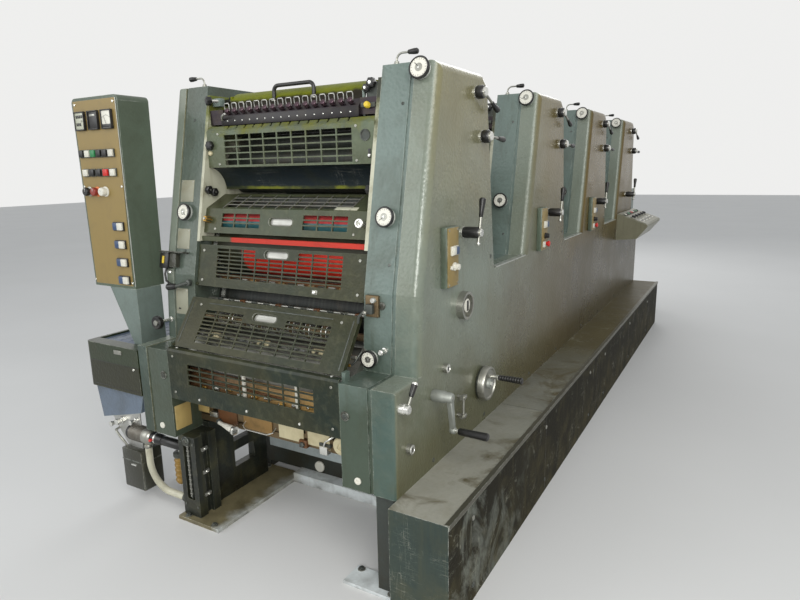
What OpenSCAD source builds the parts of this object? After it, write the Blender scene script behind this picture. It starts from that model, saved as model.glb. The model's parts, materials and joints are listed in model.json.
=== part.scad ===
/* [Printing units] */
// Distance from one printing unit to the next
unit_pitch = 1055; // [1000:5:1080]
// Height of the side towers above the floor
tower_h = 1750; // [1745:5:1850]
// Height of the low stretch of the sides between two towers
notch_z = 1005; // [960:5:1040]
// Depth of a tower where it rises from the low stretch
tower_base_d = 675; // [640:5:720]
// How far a tower's front leans back from the low stretch to the top
front_lean = 154; // [100:2:180]
// Depth of a tower's flat top
tower_top_d = 371; // [300:1:400]
// Depth of the chamfer behind a tower's top
rear_chamfer_d = 55; // [30:1:80]
// Height of the chamfer behind a tower's top
rear_chamfer_h = 38; // [20:1:60]
// Clear width between the two side frames
clear_w = 820; // [760:10:900]

/* [Side frames and covers] */
// Thickness of a side frame with its gear train
frame_t = 124; // [90:1:150]
// Thickness of the cover on the operator's side
operator_cover_t = 87.5; // [60:0.5:120]
// Thickness of the cover on the drive side
drive_cover_t = 61; // [50:1:120]
// Radius of the towers' outer edges
cover_r = 34; // [10:1:45]
// Radius of the delivery cheeks' outer edges
cheek_r = 14; // [6:1:20]
// Width of the seam groove between frame and cover
seam_w = 14; // [6:1:20]
// Depth of the seam groove
seam_d = 5; // [2:1:10]
// Underside of the frames and covers
skirt_z = 370; // [300:5:420]
// Length of the infeed behind the last tower
infeed_l = 310; // [200:5:400]

/* [Delivery end] */
// How far the delivery cheeks stand in front of the first tower
delivery_out = 169; // [120:1:220]
// Height of the ledge on the delivery cheeks
ledge_z = 735; // [700:1:800]
// How far the tower's foot stands in front of its face at the low stretch
foot_out = 20; // [0:1:40]
// Underside of the delivery hood
hood_z = 540; // [500:1:600]
// Thickness of the guard plates
guard_t = 5; // [3:0.5:8]
// Width of the grille in each guard
grille_w = 612; // [500:2:680]
// Number of openings across a grille
grille_cols = 9; // [5:1:12]
// Width of the bars in a grille
grille_bar = 5; // [4:0.5:10]

/* [Cylinders] */
// Radius of the plate and blanket cylinders
cylinder_r = 105; // [95:1:107]
// Gap between neighbouring drums that carry the sheet
drum_gap = 3.75; // [3:0.25:40]

/* [Step platform] */
// Width of the step along the operator's side
step_w = 208; // [150:1:260]
// Height of the step
step_z = 375; // [300:1:420]
// How far the step starts in front of the first tower
step_out = 224; // [170:1:300]
// Leg of the bright angle along the step's edge
step_trim = 14; // [8:1:20]

/* [Control console] */
// Width of the console at its top
console_w = 293; // [220:1:330]
// Depth of the console
console_d = 145; // [100:1:200]
// Height of the console's body
console_h = 770; // [600:5:900]
// Top of the console above the floor
console_top = 1715; // [1600:5:1800]

/* [Levers] */
// Radius of a main throw lever's hub
throw_hub_r = 21; // [15:1:26]
// How far a main throw lever's hub stands off the cover
throw_hub_l = 76; // [50:1:90]
// Length of a main throw lever from its axis
throw_arm_l = 126; // [90:1:150]
// Radius of a small lever's hub
small_hub_r = 24; // [16:1:28]
// How far a small lever's hub stands off the cover
small_hub_l = 42; // [30:1:60]
// Length of a small lever from its axis
small_arm_l = 150; // [100:1:170]
// Radius of the pivot pins
pin_r = 8; // [5:1:10]
// Running clearance round a pivot pin
pin_gap = 0.05; // [0.02:0.01:0.1]

/* [Hidden] */
$fn = 48;

unit_count = 4;
// The origin lies on the floor, under the middle of the front floor beam
origin_back = 330;
// Small overlap that makes cuts run past a face
eps = 1;
// Gap that a turning piece keeps from the face it seats on
seat_gap = 0.3;

frame_in = clear_w / 2;
frame_out = frame_in + frame_t;
cover_x = frame_out + operator_cover_t;
drive_x = frame_out + drive_cover_t;
first_y = -origin_back;
last_y = first_y + (unit_count - 1) * unit_pitch;
end_y = last_y + tower_base_d + infeed_l;
cheek_y = first_y - delivery_out;
lean_angle = atan2(front_lean, tower_h - notch_z);
foot_angle = atan2(foot_out, notch_z - ledge_z);
units = [0 : unit_count - 1];

function unit_y(i) = first_y + i * unit_pitch;

// Distance of a tower's front face behind the unit's datum at height z
function front_at(z) = z >= notch_z
    ? front_lean * (z - notch_z) / (tower_h - notch_z)
    : -foot_out * (notch_z - z) / (notch_z - ledge_z);

// Outline of one tower, from its front foot over the top to its rear foot
function tower_outline(i) =
    let (y = unit_y(i), top_y = y + front_lean + tower_top_d)
    [[y, notch_z],
     [y + front_lean, tower_h],
     [top_y, tower_h],
     [top_y + rear_chamfer_d, tower_h - rear_chamfer_h],
     [y + tower_base_d, notch_z]];

// Outline of a whole side, from the delivery cheek to the infeed
side_outline = concat(
    [[cheek_y, skirt_z], [cheek_y, ledge_z], [first_y - foot_out, ledge_z]],
    [for (i = units) each tower_outline(i)],
    [[end_y - infeed_l / 2, notch_z], [end_y, notch_z - infeed_l / 2], [end_y, skirt_z]]);

module along_x(x0, x1) {
    translate([x0, 0, 0]) rotate([90, 0, 90]) linear_extrude(x1 - x0) children();
}

module block(low, high) {
    translate(low) cube(high - low);
}

module rod_x(x0, x1, y, z, r) {
    translate([x0, y, z]) rotate([0, 90, 0]) cylinder(r = r, h = x1 - x0);
}

module both_sides() {
    children();
    mirror([1, 0, 0]) children();
}

// How far a rounded edge's cylinder passes through the faces beside it, so it crosses them
round_over = 0.15;

// What lies outside a quarter round of radius r along an edge
module edge_cutter(r, l) {
    difference() {
        translate([-r, -r, 0]) cube([r + eps, r + eps, l]);
        translate([-r, -r, -eps]) cylinder(r = r + round_over, h = l + 2 * eps);
    }
}

// Cutter along the outline's edge from a to b, run on past both ends
module round_edge(a, b, x, r) {
    d = (b - a) / norm(b - a);
    start = b + d * r;
    translate([x, start[0], start[1]])
        rotate([atan2(d[0], -d[1]), 0, 0])
            edge_cutter(r, norm(b - a) + 2 * r);
}

// The rounded outer edges of a side cover whose outer face is at x
module cover_edges(x) {
    foot = [first_y - foot_out, ledge_z];
    x0 = x - 2 * cover_r;
    x1 = x + 2 * eps;
    intersection() {
        union() {
            round_edge([cheek_y, skirt_z], [cheek_y, ledge_z], x, cheek_r);
            round_edge([cheek_y, ledge_z], foot, x, cheek_r);
        }
        block([x0, cheek_y - cheek_r, skirt_z - eps], [x1, foot[0], ledge_z + cheek_r]);
    }
    intersection() {
        round_edge(foot, [first_y, notch_z], x, cover_r);
        block([x0, cheek_y, ledge_z], [x1, first_y + cover_r, notch_z]);
    }
    for (i = units) {
        t = tower_outline(i);
        intersection() {
            for (k = [0 : 3])
                round_edge(t[k], t[k + 1], x, cover_r);
            block([x0, t[0][0] - cover_r, notch_z], [x1, t[4][0] + cover_r, tower_h + cover_r]);
        }
    }
}

// A strip of the seam groove along the front edge from a to b
module seam_strip(a, b) {
    polygon([a - [eps, 0], b - [eps, 0], b + [seam_d, 0], a + [seam_d, 0]]);
}

// The groove that shows as the seam between a frame and its cover
module seam_groove() {
    along_x(frame_out - seam_w, frame_out + eps) {
        seam_strip([cheek_y, skirt_z - eps], [cheek_y, ledge_z + eps]);
        seam_strip([first_y - foot_out, ledge_z], [first_y, notch_z]);
        translate([cheek_y, ledge_z - seam_d]) square([delivery_out - foot_out, seam_d + eps]);
        for (i = units) {
            t = tower_outline(i);
            seam_strip(t[0], t[1]);
        }
    }
}

// Places of the fittings on the operator's side, as [distance behind the unit's front, height]
throw_at = [335, 1183];
upper_at = [447, tower_h - 75];
lower_at = [505, tower_h - 227];
crank_at = [88, 645];
wheel_at = [520, 552];
front_lever_at = [-137, 676];
small_arm_down = 22;

// Bores for the pivot pins in the operator's cover
pin_depth = 16;
module pin_bore(at) {
    rod_x(cover_x - pin_depth, cover_x + eps, at[0], at[1], pin_r + pin_gap);
}

module pivot_pin(at) {
    rod_x(cover_x - pin_depth + seat_gap, cover_x + seat_gap + eps, at[0], at[1], pin_r);
}

function place(i, at) = [unit_y(i) + at[0], at[1]];

// Point a distance d behind the first tower's front face at height z
function inset(d, z) = [first_y + front_at(z) + d, z];

// Guards that turn hang on pins in the side frames, the lower one in a lug on the ledge
guard_pin_r = 6;
guard_pin_l = 10;
guard_clear = 6;
lug_w = 26;
lug_t = 14;
plate_guard_at = inset(10, 972);
lower_guard_at = [cheek_y + 33, ledge_z + 18];

module guard_bore(at) {
    rod_x(frame_in - eps, frame_in + guard_pin_l + seat_gap, at[0], at[1],
          guard_pin_r + pin_gap);
}

module side_frame() {
    difference() {
        union() {
            along_x(frame_in, frame_out) polygon(side_outline);
            block([frame_in, lower_guard_at[0] - lug_w / 2, ledge_z - eps],
                  [frame_in + lug_t, lower_guard_at[0] + lug_w / 2,
                   lower_guard_at[1] + lug_w / 2]);
        }
        seam_groove();
        guard_bore(plate_guard_at);
        guard_bore(lower_guard_at);
    }
}

module operator_frame() {
    color([0.36, 0.40, 0.39]) side_frame();
}

module drive_frame() {
    color([0.36, 0.40, 0.39]) mirror([1, 0, 0]) side_frame();
}

module operator_cover() {
    color([0.38, 0.41, 0.39])
    difference() {
        along_x(frame_out, cover_x) polygon(side_outline);
        cover_edges(cover_x);
        for (i = units) {
            pin_bore(place(i, throw_at));
            pin_bore(place(i, upper_at));
            pin_bore(place(i, lower_at));
        }
        pin_bore(place(0, crank_at));
        pin_bore(place(0, wheel_at));
        pin_bore(place(0, front_lever_at));
    }
}

module drive_cover() {
    color([0.38, 0.41, 0.39])
    mirror([1, 0, 0])
    difference() {
        along_x(frame_out, drive_x) polygon(side_outline);
        cover_edges(drive_x);
    }
}

// Floor structure: the closed bed, its front beam with an apron, and the front post
bed_w = 110;
bed_y = 120;
front_beam_d = 90;
post_x = frame_out - 4;
post_w = 66;
post_d = 50;
module base_frame() {
    front_y = bed_y - front_beam_d;
    color([0.16, 0.18, 0.18]) {
        block([-frame_in - bed_w, bed_y, 0], [step_x0, end_y, skirt_z]);
        both_sides() block([frame_in, front_y, 0], [frame_in + bed_w, bed_y, skirt_z]);
        block([-frame_in, front_y, 40], [frame_in, bed_y, 240]);
        block([-frame_in, bed_y, skirt_z], [frame_in, bed_y + 12, skirt_z + 70]);
        block([post_x, cheek_y + 20, foot_plate_t],
              [post_x + post_w, cheek_y + 20 + post_d, skirt_z]);
    }
}

// Light plates on the floor: the front cross beam, the foot under the lift and a foot plate
floor_beam_d = 60;
floor_beam_h = 45;
foot_x = [-frame_in - 30, -213];
foot_h = 16;
foot_plate_t = 12;
module floor_plates() {
    color([0.75, 0.76, 0.72]) {
        block([foot_x[1], -floor_beam_d / 2, 0], [frame_in, floor_beam_d / 2, floor_beam_h]);
        block([foot_x[0], cheek_y, 0], [foot_x[1], floor_beam_d / 2, foot_h]);
        block([frame_in - 10, cheek_y - 6, 0], [post_x + post_w + 6, cheek_y + 90, foot_plate_t]);
    }
}

// Light strips along the low stretches and the bright angle along the step
strip_w = 26;
strip_t = 4;
module edge_trims() {
    color([0.78, 0.78, 0.74]) {
        for (i = [0 : unit_count - 2])
            block([cover_x - strip_w, unit_y(i) + tower_base_d, notch_z],
                  [cover_x, unit_y(i + 1), notch_z + strip_t]);
        along_y(first_y - step_out, end_y)
            polygon([[step_x1, step_z], [step_x1, step_z - step_trim],
                     [step_x1 + 3, step_z - step_trim], [step_x1 + 3, step_z + 3],
                     [step_x1 - step_trim, step_z + 3], [step_x1 - step_trim, step_z]]);
    }
}

// Extrudes an outline given as [x, z] from y0 to y1
module along_y(y0, y1) {
    translate([0, y1, 0]) rotate([90, 0, 0]) linear_extrude(y1 - y0) children();
}

// Ties between the frames: a beam high in each unit and the footboards between the units
tie_y = 420;
tie_z = [tower_h - 150, tower_h - 70];
module cross_ties() {
    color([0.30, 0.33, 0.32]) {
        for (i = units)
            block([-inner_x, unit_y(i) + tie_y, tie_z[0]], [inner_x, unit_y(i) + tie_y + 80, tie_z[1]]);
        for (i = [0 : unit_count - 2])
            block([-frame_in, unit_y(i) + tower_base_d + 4, notch_z - 60],
                  [frame_in, unit_y(i + 1) - 4, notch_z - 25]);
        block([-frame_in, end_y - infeed_l, notch_z - 60],
              [frame_in, end_y - infeed_l / 2, notch_z - 25]);
    }
}

// Housing on the drive side of the delivery, with a hopper-like tank under it
housing_w = 341;
housing_top = 710;
housing_bottom = 512;
housing_d = 470;
housing_x = [-drive_x - housing_w, -drive_x];
tank_x = [housing_x[0] + 42, housing_x[1] - 40];
tank_bottom = 362;
tank_rise = 62;

// Height of the tank's sloping underside at x
function tank_under(x) = tank_bottom + tank_rise * (x - tank_x[0]) / (tank_x[1] - tank_x[0]);

module drive_housing() {
    x0 = housing_x[0];
    x1 = housing_x[1];
    color([0.34, 0.40, 0.38]) {
        difference() {
            translate([0, 0, housing_bottom])
                linear_extrude(housing_top - housing_bottom)
                    round_left([x0, cheek_y], [x1, cheek_y + housing_d], 26);
            block([x0 + 14, cheek_y + 60, housing_top - 10],
                  [x1 - 30, cheek_y + housing_d - 14, housing_top + eps]);
        }
        along_y(cheek_y + 16, cheek_y + 330)
            polygon([[x0 + 18, housing_bottom], [tank_x[0], tank_bottom],
                     [tank_x[1], tank_bottom + tank_rise], [x1 - 12, housing_bottom]]);
    }
}

// A rectangle whose two corners on the left are round
module round_left(low, high, r) {
    translate([low[0] + r, low[1]]) square([high[0] - low[0] - r, high[1] - low[1]]);
    translate([low[0], low[1] + r]) square([r, high[1] - low[1] - 2 * r]);
    for (y = [low[1] + r, high[1] - r])
        translate([low[0] + r, y]) circle(r);
}

step_x0 = cover_x;
step_x1 = cover_x + step_w;
module step_platform() {
    color([0.20, 0.21, 0.20])
        block([step_x0, first_y - step_out, 0], [step_x1, end_y, step_z]);
}

// Light side plates that carry the inking rollers
side_plate_t = 14;
inner_x = frame_in - side_plate_t;
plate_axis = [205, 1100];
blanket_axis = [225, 885];
drum_axis = [300, 655];
module side_plates() {
    low = 1142;
    high = tower_h - 38;
    color([0.72, 0.73, 0.66])
        both_sides()
            for (i = units)
                translate([0, unit_y(i), 0])
                    difference() {
                        along_x(inner_x, frame_in)
                            polygon([[front_at(low), low], [front_at(high), high],
                                     [430, high], [560, high - 232], [600, notch_z + 20],
                                     [360, notch_z + 20], [300, low]]);
                        rod_x(inner_x - eps, frame_in + eps, plate_axis[0], plate_axis[1],
                              cylinder_r + 8);
                    }
}

module plate_cylinders() {
    color([0.70, 0.16, 0.13])
        for (i = units)
            rod_x(-frame_in, frame_in, unit_y(i) + plate_axis[0], plate_axis[1], cylinder_r);
}

module blanket_cylinders() {
    color([0.20, 0.34, 0.38])
        for (i = units)
            rod_x(-frame_in, frame_in, unit_y(i) + blanket_axis[0], blanket_axis[1], cylinder_r);
}

// Impression and transfer drums stand in one row from the delivery to the infeed
drums_per_unit = 4;
module sheet_drums() {
    step = unit_pitch / drums_per_unit;
    color([0.62, 0.63, 0.62])
        for (k = [-1 : (unit_count - 1) * drums_per_unit + 1])
            rod_x(-frame_in, frame_in, first_y + drum_axis[0] + k * step, drum_axis[1],
                  (step - drum_gap) / 2);
}

// Inking and damping rollers of one unit, as [distance behind the front, height, radius]
ink_train = [[118, 1212, 35], [200, 1243, 35], [268, 1283, 38], [292, 1212, 33],
             [362, 1240, 38], [300, 1365, 42], [262, 1452, 45], [330, 1520, 42],
             [288, tower_h - 146, 46], [345, 1095, 30], [412, 1122, 34]];
module ink_rollers() {
    color([0.13, 0.15, 0.16])
        for (i = units, r = ink_train)
            rod_x(-inner_x, inner_x, unit_y(i) + r[0], r[1], r[2]);
}

// Ink duct: the trough, its two end blocks and the row of keys
duct_w = 650;
duct_front = 132;
duct_top = tower_h - 98;
key_count = 16;
key_tilt = 35;
key_r = 5;
key_axis = [30, duct_top - 30];

function key_x(k) = (k - (key_count - 1) / 2) * (duct_w - 30) / key_count;

module at_key(k) {
    translate([key_x(k), key_axis[0], key_axis[1]]) rotate([90 - key_tilt, 0, 0]) children();
}

module ink_ducts() {
    color([0.10, 0.11, 0.11])
        for (i = units) translate([0, unit_y(i) + duct_front, 0]) {
            difference() {
                along_x(-duct_w / 2, duct_w / 2)
                    polygon([[0, duct_top - 60], [26, duct_top - 66], [88, duct_top - 22],
                             [88, duct_top], [24, duct_top], [0, duct_top - 24]]);
                for (k = [0 : key_count - 1])
                    at_key(k) translate([0, 0, -20]) cylinder(r = key_r, h = 60);
            }
            both_sides() block([duct_w / 2, 8, duct_top - 56], [inner_x, 84, duct_top]);
        }
}

module ink_keys() {
    color([0.66, 0.66, 0.62])
        for (i = units, k = [0 : key_count - 1])
            translate([0, unit_y(i) + duct_front, 0]) at_key(k) {
                translate([0, 0, -20]) cylinder(r = key_r - pin_gap, h = 51);
                translate([0, 0, 30]) cylinder(r = 11, h = 16);
            }
}

// Curved lid over each duct, with a bail handle on the first one
lid_r = 82;
lid_t = 4;
lid_axis = [120, duct_top - 12];
bail_w = 190;
bail_h = 56;
bail_r = 7;
bail_y = 52;
module duct_covers() {
    color([0.47, 0.52, 0.16])
        for (i = units) translate([0, unit_y(i) + duct_front, 0]) {
            intersection() {
                difference() {
                    rod_x(-duct_w / 2, duct_w / 2, lid_axis[0], lid_axis[1], lid_r);
                    rod_x(-duct_w / 2 - eps, duct_w / 2 + eps, lid_axis[0], lid_axis[1],
                          lid_r - lid_t);
                }
                block([-duct_w, 0, duct_top], [duct_w, 150, duct_top + 200]);
            }
            both_sides()
                block([duct_w / 2 - 4, 60, duct_top], [duct_w / 2 + 6, 140, duct_top + 54]);
            if (i == 0)
                translate([0, bail_y, lid_top(bail_y - bail_r) - eps]) bail(bail_w, bail_h, bail_r);
        }
}

// Height of the duct lid's outside above the point y behind the duct's front
function lid_top(y) = lid_axis[1] + sqrt(pow(lid_r, 2) - pow(y - lid_axis[0], 2));

// A rod bent into a bail: two legs, two round corners and a grip
module bail(w, h, r) {
    corner = 3 * r;
    both_sides() {
        translate([w / 2, 0, 0]) cylinder(r = r, h = h - corner);
        translate([w / 2 - corner, 0, h - corner]) rotate([90, 0, 0])
            rotate_extrude(angle = 90) translate([corner, 0]) circle(r);
    }
    translate([corner - w / 2, 0, h]) rotate([0, 90, 0]) cylinder(r = r, h = w - 2 * corner);
}

// A rod that rises, bends over and ends in a black grip
module bent_lever(rise, reach) {
    bend = 22;
    rod_r = 4;
    cylinder(r = 9, h = 10);
    cylinder(r = rod_r, h = rise - bend);
    translate([bend, 0, rise - bend]) rotate([90, 0, 0]) rotate([0, 0, 90])
        rotate_extrude(angle = 90) translate([bend, 0]) circle(rod_r);
    translate([bend, 0, rise]) rotate([0, 90, 0]) cylinder(r = rod_r, h = reach - bend);
    translate([reach, 0, rise]) rotate([0, 90, 0]) cylinder(r1 = 7, r2 = 10, h = 38);
}

lever_post = [452, 176];
module duct_levers() {
    color([0.07, 0.07, 0.07]) {
        for (i = units)
            both_sides() {
                translate([lever_post[0], unit_y(i) + lever_post[1], tower_h]) bent_lever(36, 44);
                rod_x(duct_w / 2 + 6, inner_x, unit_y(i) + duct_front + 100, duct_top + 38, 14);
            }
    }
}

// Places children on a sheet that runs from a up to b, given as [y, z]
module on_sheet(a, b) {
    translate([0, a[0], a[1]]) rotate([atan2(a[0] - b[0], b[1] - a[1]), 0, 0]) children();
}

// A flat sheet from a up to b with its outer face through both, less its children
module sheet(a, b, w, t) {
    on_sheet(a, b)
        difference() {
            translate([-w / 2, 0, 0]) cube([w, t, norm(b - a)]);
            children();
        }
}

// Normal of the line from a to b, on the side that a sheet's thickness goes
function back_normal(a, b) = [b[1] - a[1], a[0] - b[0]] / norm(b - a);

// Outline of a sheet bent once, its outer face through a, b and c
function bent_outline(a, b, c, t) =
    let (n1 = back_normal(a, b), n2 = back_normal(b, c))
    [a, b, c, c + t * n2, b + t * (n1 + n2) / (1 + n1 * n2), a + t * n1];

// A field of rectangular openings with its foot at z0; a finger cup may stand in its top
module grille(z0, h, rows, cup_cols = 0, cup_rows = 0) {
    px = grille_w / grille_cols;
    pz = h / rows;
    first_cup = (grille_cols - cup_cols) / 2;
    for (c = [0 : grille_cols - 1], r = [0 : rows - 1])
        if (r < rows - cup_rows || c < first_cup || c >= first_cup + cup_cols)
            translate([c * px - grille_w / 2 + grille_bar / 2, -eps, z0 + r * pz + grille_bar / 2])
                cube([px - grille_bar, guard_t + 2 * eps, pz - grille_bar]);
}

// Solid with round ends, l between the ends' centres, standing along +Y
module stadium(l, r, h) {
    rotate([-90, 0, 0]) {
        both_sides() translate([l / 2, 0, 0]) cylinder(r = r, h = h);
        translate([-l / 2, -r, 0]) cube([l, 2 * r, h]);
    }
}

cup_l = 86;
cup_r = 17;
cup_d = 14;
module finger_hole(z) {
    translate([0, -eps, z]) stadium(cup_l, cup_r, guard_t + 2 * eps);
}

module finger_cup(z) {
    translate([0, 1, z])
        difference() {
            stadium(cup_l, cup_r, cup_d);
            translate([0, -eps, 0]) stadium(cup_l - 4, cup_r - 3, cup_d - 2);
        }
}

// First tower's fixed guards, with their corners as [y, z] behind the first unit's datum
upper_low = inset(24, 1430);
upper_high = inset(-5, 1570);
upper_lip = upper_high + [17, 18];
notch_count = 14;
module upper_guard() {
    color([0.30, 0.35, 0.33])
        difference() {
            along_x(-inner_x, inner_x)
                polygon(bent_outline(upper_low, upper_high, upper_lip, guard_t));
            on_sheet(upper_low, upper_high) {
                grille(6, 120, 5);
                translate([inner_x - 36, -eps, 96]) rotate([-90, 0, 0])
                    cylinder(r = 17, h = guard_t + 2 * eps);
            }
            on_sheet(upper_high, upper_lip)
                for (k = [0 : notch_count - 1])
                    translate([(k - (notch_count - 1) / 2) * 44 - 5, -2 * eps, 8])
                        cube([9, guard_t + 4 * eps, 40]);
        }
}

splash_r = 102;
splash_axis = inset(32, 1336);
module splash_sheet() {
    color([0.20, 0.27, 0.31])
        intersection() {
            difference() {
                rod_x(-inner_x, inner_x, splash_axis[0], splash_axis[1], splash_r);
                rod_x(-inner_x - eps, inner_x + eps, splash_axis[0], splash_axis[1],
                      splash_r - 4);
            }
            along_x(-inner_x, inner_x)
                polygon([splash_axis, splash_axis + 140 * [cos(80), sin(80)],
                         splash_axis + [140, 140], splash_axis + 140 * [cos(4), sin(4)]]);
        }
}

middle_low = inset(20, 1175);
middle_high = inset(25, 1270);
shelf_back = inset(120, 1322);
module middle_guard() {
    px = grille_w / grille_cols;
    cup_z = 52;
    color([0.29, 0.34, 0.32]) {
        difference() {
            along_x(-inner_x, inner_x)
                polygon(bent_outline(middle_low, middle_high, shelf_back, guard_t));
            on_sheet(middle_low, middle_high) {
                grille(22, 60, 3, 3, 3);
                finger_hole(cup_z);
            }
            on_sheet(middle_high, shelf_back)
                for (c = [0 : grille_cols - 1])
                    translate([c * px - grille_w / 2 + grille_bar / 2, -eps, 12])
                        cube([px - grille_bar, guard_t + 2 * eps, 94]);
        }
        on_sheet(middle_low, middle_high) {
            finger_cup(cup_z);
            both_sides()
                translate([inner_x - 26, eps, cup_z]) rotate([90, 0, 0]) cylinder(r = 13, h = 24);
        }
    }
}

module red_bar() {
    color([0.75, 0.12, 0.08])
        translate([0, first_y + front_at(1143)]) block([-inner_x, 15, 1143], [inner_x, 27, 1161]);
}

// A guard that turns outwards on pins at its foot, from its pivot to its top edge
module hinged_guard(at, top, grille_z, grille_h, rows, cup_z) {
    d = top - at;
    w = clear_w - 2 * guard_clear;
    flange = 18;
    translate([0, at[0], at[1]]) rotate([atan2(-d[0], d[1]), 0, 0]) {
        translate([0, -guard_t / 2, -guard_pin_r]) {
            difference() {
                translate([-w / 2, 0, 0]) cube([w, guard_t, norm(d) + guard_pin_r]);
                grille(grille_z, grille_h, rows, 3, 2);
                finger_hole(cup_z);
            }
            finger_cup(cup_z);
            both_sides() translate([w / 2 - guard_t, 0, 0])
                cube([guard_t, flange, norm(d) + guard_pin_r]);
        }
        both_sides() rod_x(w / 2 - guard_t, frame_in + guard_pin_l, 0, 0, guard_pin_r);
    }
}

module plate_guard() {
    color([0.29, 0.34, 0.32])
        hinged_guard(plate_guard_at, inset(15, 1128), 34, 122, 8, 141);
}

module lower_guard() {
    color([0.27, 0.31, 0.28])
        hinged_guard(lower_guard_at, [first_y - foot_out, 922], 24, 142, 9, 160);
}

// Hood over the delivery: a bent sheet with a grille in its front
module delivery_hood() {
    top = ledge_z + 12;
    t = guard_t;
    color([0.25, 0.30, 0.28])
        difference() {
            along_x(-frame_in, frame_in)
                translate([cheek_y, 0])
                    polygon([[0, hood_z], [0, top - 12], [4, top - 3], [12, top], [20, top],
                             [20, top - t], [13, top - t], [t + 2, top - 8], [t, top - 14],
                             [t, hood_z + t], [24, hood_z + t], [24, hood_z]]);
            translate([0, cheek_y, 0]) grille(hood_z + 68, 88, 4);
        }
}

// Plain guards in front of the other units' cylinders, and behind every unit
module inner_guards() {
    color([0.28, 0.33, 0.31])
        for (i = [1 : unit_count - 1]) {
            low = notch_z + 12;
            high = 1556;
            sheet([unit_y(i) + front_at(low) + 1, low], [unit_y(i) + front_at(high) + 1, high],
                  2 * inner_x, guard_t) {
                grille(20, 120, 4);
                grille(430, 110, 4);
            }
        }
}

function rear_at(z) = tower_base_d
    - (tower_base_d - front_lean - tower_top_d - rear_chamfer_d)
    * (z - notch_z) / (tower_h - rear_chamfer_h - notch_z);

module rear_guards() {
    low = notch_z + 12;
    high = tower_h - 110;
    color([0.28, 0.33, 0.31])
        for (i = units)
            sheet([unit_y(i) + rear_at(low) - guard_t - 1, low],
                  [unit_y(i) + rear_at(high) - guard_t - 1, high], clear_w, guard_t)
                for (k = [0 : 4])
                    translate([-grille_w / 2, -eps, 330 + 44 * k])
                        cube([grille_w, guard_t + 2 * eps, 18]);
}

// Under the hood: a beam with four windows, a lower rail and the sheet wheels on their shaft
window_w = 118;
wheel_count = 9;
wheel_pitch = 76;
wheel_shaft = [first_y + 30, 835];
module delivery_bars() {
    beam_y = first_y - 34;
    color([0.33, 0.30, 0.25]) {
        difference() {
            block([-frame_in, beam_y, 432], [frame_in, beam_y + 22, 508]);
            for (k = [0 : 3])
                translate([(k - 1.5) * 182 - window_w / 2, beam_y - eps, 450])
                    cube([window_w, 22 + 2 * eps, 42]);
        }
        block([-frame_in, beam_y + 4, 398], [frame_in, beam_y + 34, 424]);
        rod_x(-frame_in, frame_in, wheel_shaft[0], wheel_shaft[1], 14);
        for (k = [0 : wheel_count - 1])
            translate([(k - (wheel_count - 1) / 2) * wheel_pitch, 0, 0])
                rod_x(-12, 12, wheel_shaft[0], wheel_shaft[1], 31);
    }
}

// Left pedestal of the delivery: the lift's column with its guide, and a cut-out side plate
column_x = [-frame_in - 20, -frame_in + 74];
column_d = 112;
module lift_column() {
    y0 = cheek_y + 26;
    color([0.10, 0.11, 0.10]) {
        difference() {
            block([column_x[0], y0, foot_h], [column_x[1], y0 + column_d, skirt_z]);
            block([column_x[0] + 26, y0 - eps, 90], [column_x[1] - 26, y0 + 14, skirt_z - 40]);
            block([column_x[1] - 16, y0 + 40, foot_h - eps], [column_x[1] + eps, y0 + 72, skirt_z + eps]);
        }
        difference() {
            block([-frame_in + 4, y0 + column_d, foot_h],
                  [-frame_in + 40, -floor_beam_d / 2, skirt_z + 20]);
            for (z = [130, 250])
                block([-frame_in + 3, y0 + column_d + 130, z],
                      [-frame_in + 41, y0 + column_d + 250, z + 76]);
        }
    }
}

// Drain pump under the housing: bracket, motor and its box
motor_at = [cheek_y + 44, 310];
motor_r = 36;
box_x = [-800, -668];
box_y = [cheek_y + 18, cheek_y + 122];
box_z = [52, 236];
hose_r = 15;
hose_bend = 4 * 2 * hose_r;
hose_x = box_x[1] + hose_r + 4;
hose_z = box_z[0] + 24;
hose_top = motor_at[1] - motor_r - 2;
module pump_unit() {
    x0 = box_x[0] + 20;
    x1 = box_x[1] - 12;
    y0 = box_y[1] - 14;
    y1 = box_y[1] - 4;
    color([0.42, 0.43, 0.41]) {
        along_y(y0, y1)
            polygon([[x0, box_z[1]], [x1, box_z[1]], [x1, tank_under(x1)], [x0, tank_under(x0)]]);
        block([box_x[0], box_y[0], box_z[0]], [box_x[1], box_y[1], box_z[1]]);
        rod_x(box_x[0] - 6, box_x[1] + 6, motor_at[0], motor_at[1], motor_r);
        rod_x(box_x[1] + 6, -frame_out - 10, motor_at[0], motor_at[1], motor_r - 12);
        translate([hose_x, motor_at[0], hose_top])
            cylinder(r = hose_r - 3, h = motor_at[1] - hose_top);
        block([x0, motor_at[0], motor_at[1] + motor_r - 8], [x1, y1, motor_at[1] + motor_r]);
    }
}

// Hose from the pump's outlet down and across to the lift column
module drain_hose() {
    color([0.72, 0.72, 0.66])
        translate([hose_x, motor_at[0], hose_z]) {
            translate([0, 0, hose_bend])
                cylinder(r = hose_r, h = hose_top - hose_z - hose_bend);
            translate([hose_bend, 0, hose_bend]) rotate([90, 0, 0]) rotate([0, 0, 180])
                rotate_extrude(angle = 90) translate([hose_bend, 0]) circle(hose_r);
            translate([hose_bend, 0, 0]) rotate([0, 90, 0])
                cylinder(r = hose_r, h = column_x[0] - hose_x - hose_bend);
        }
}

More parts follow.
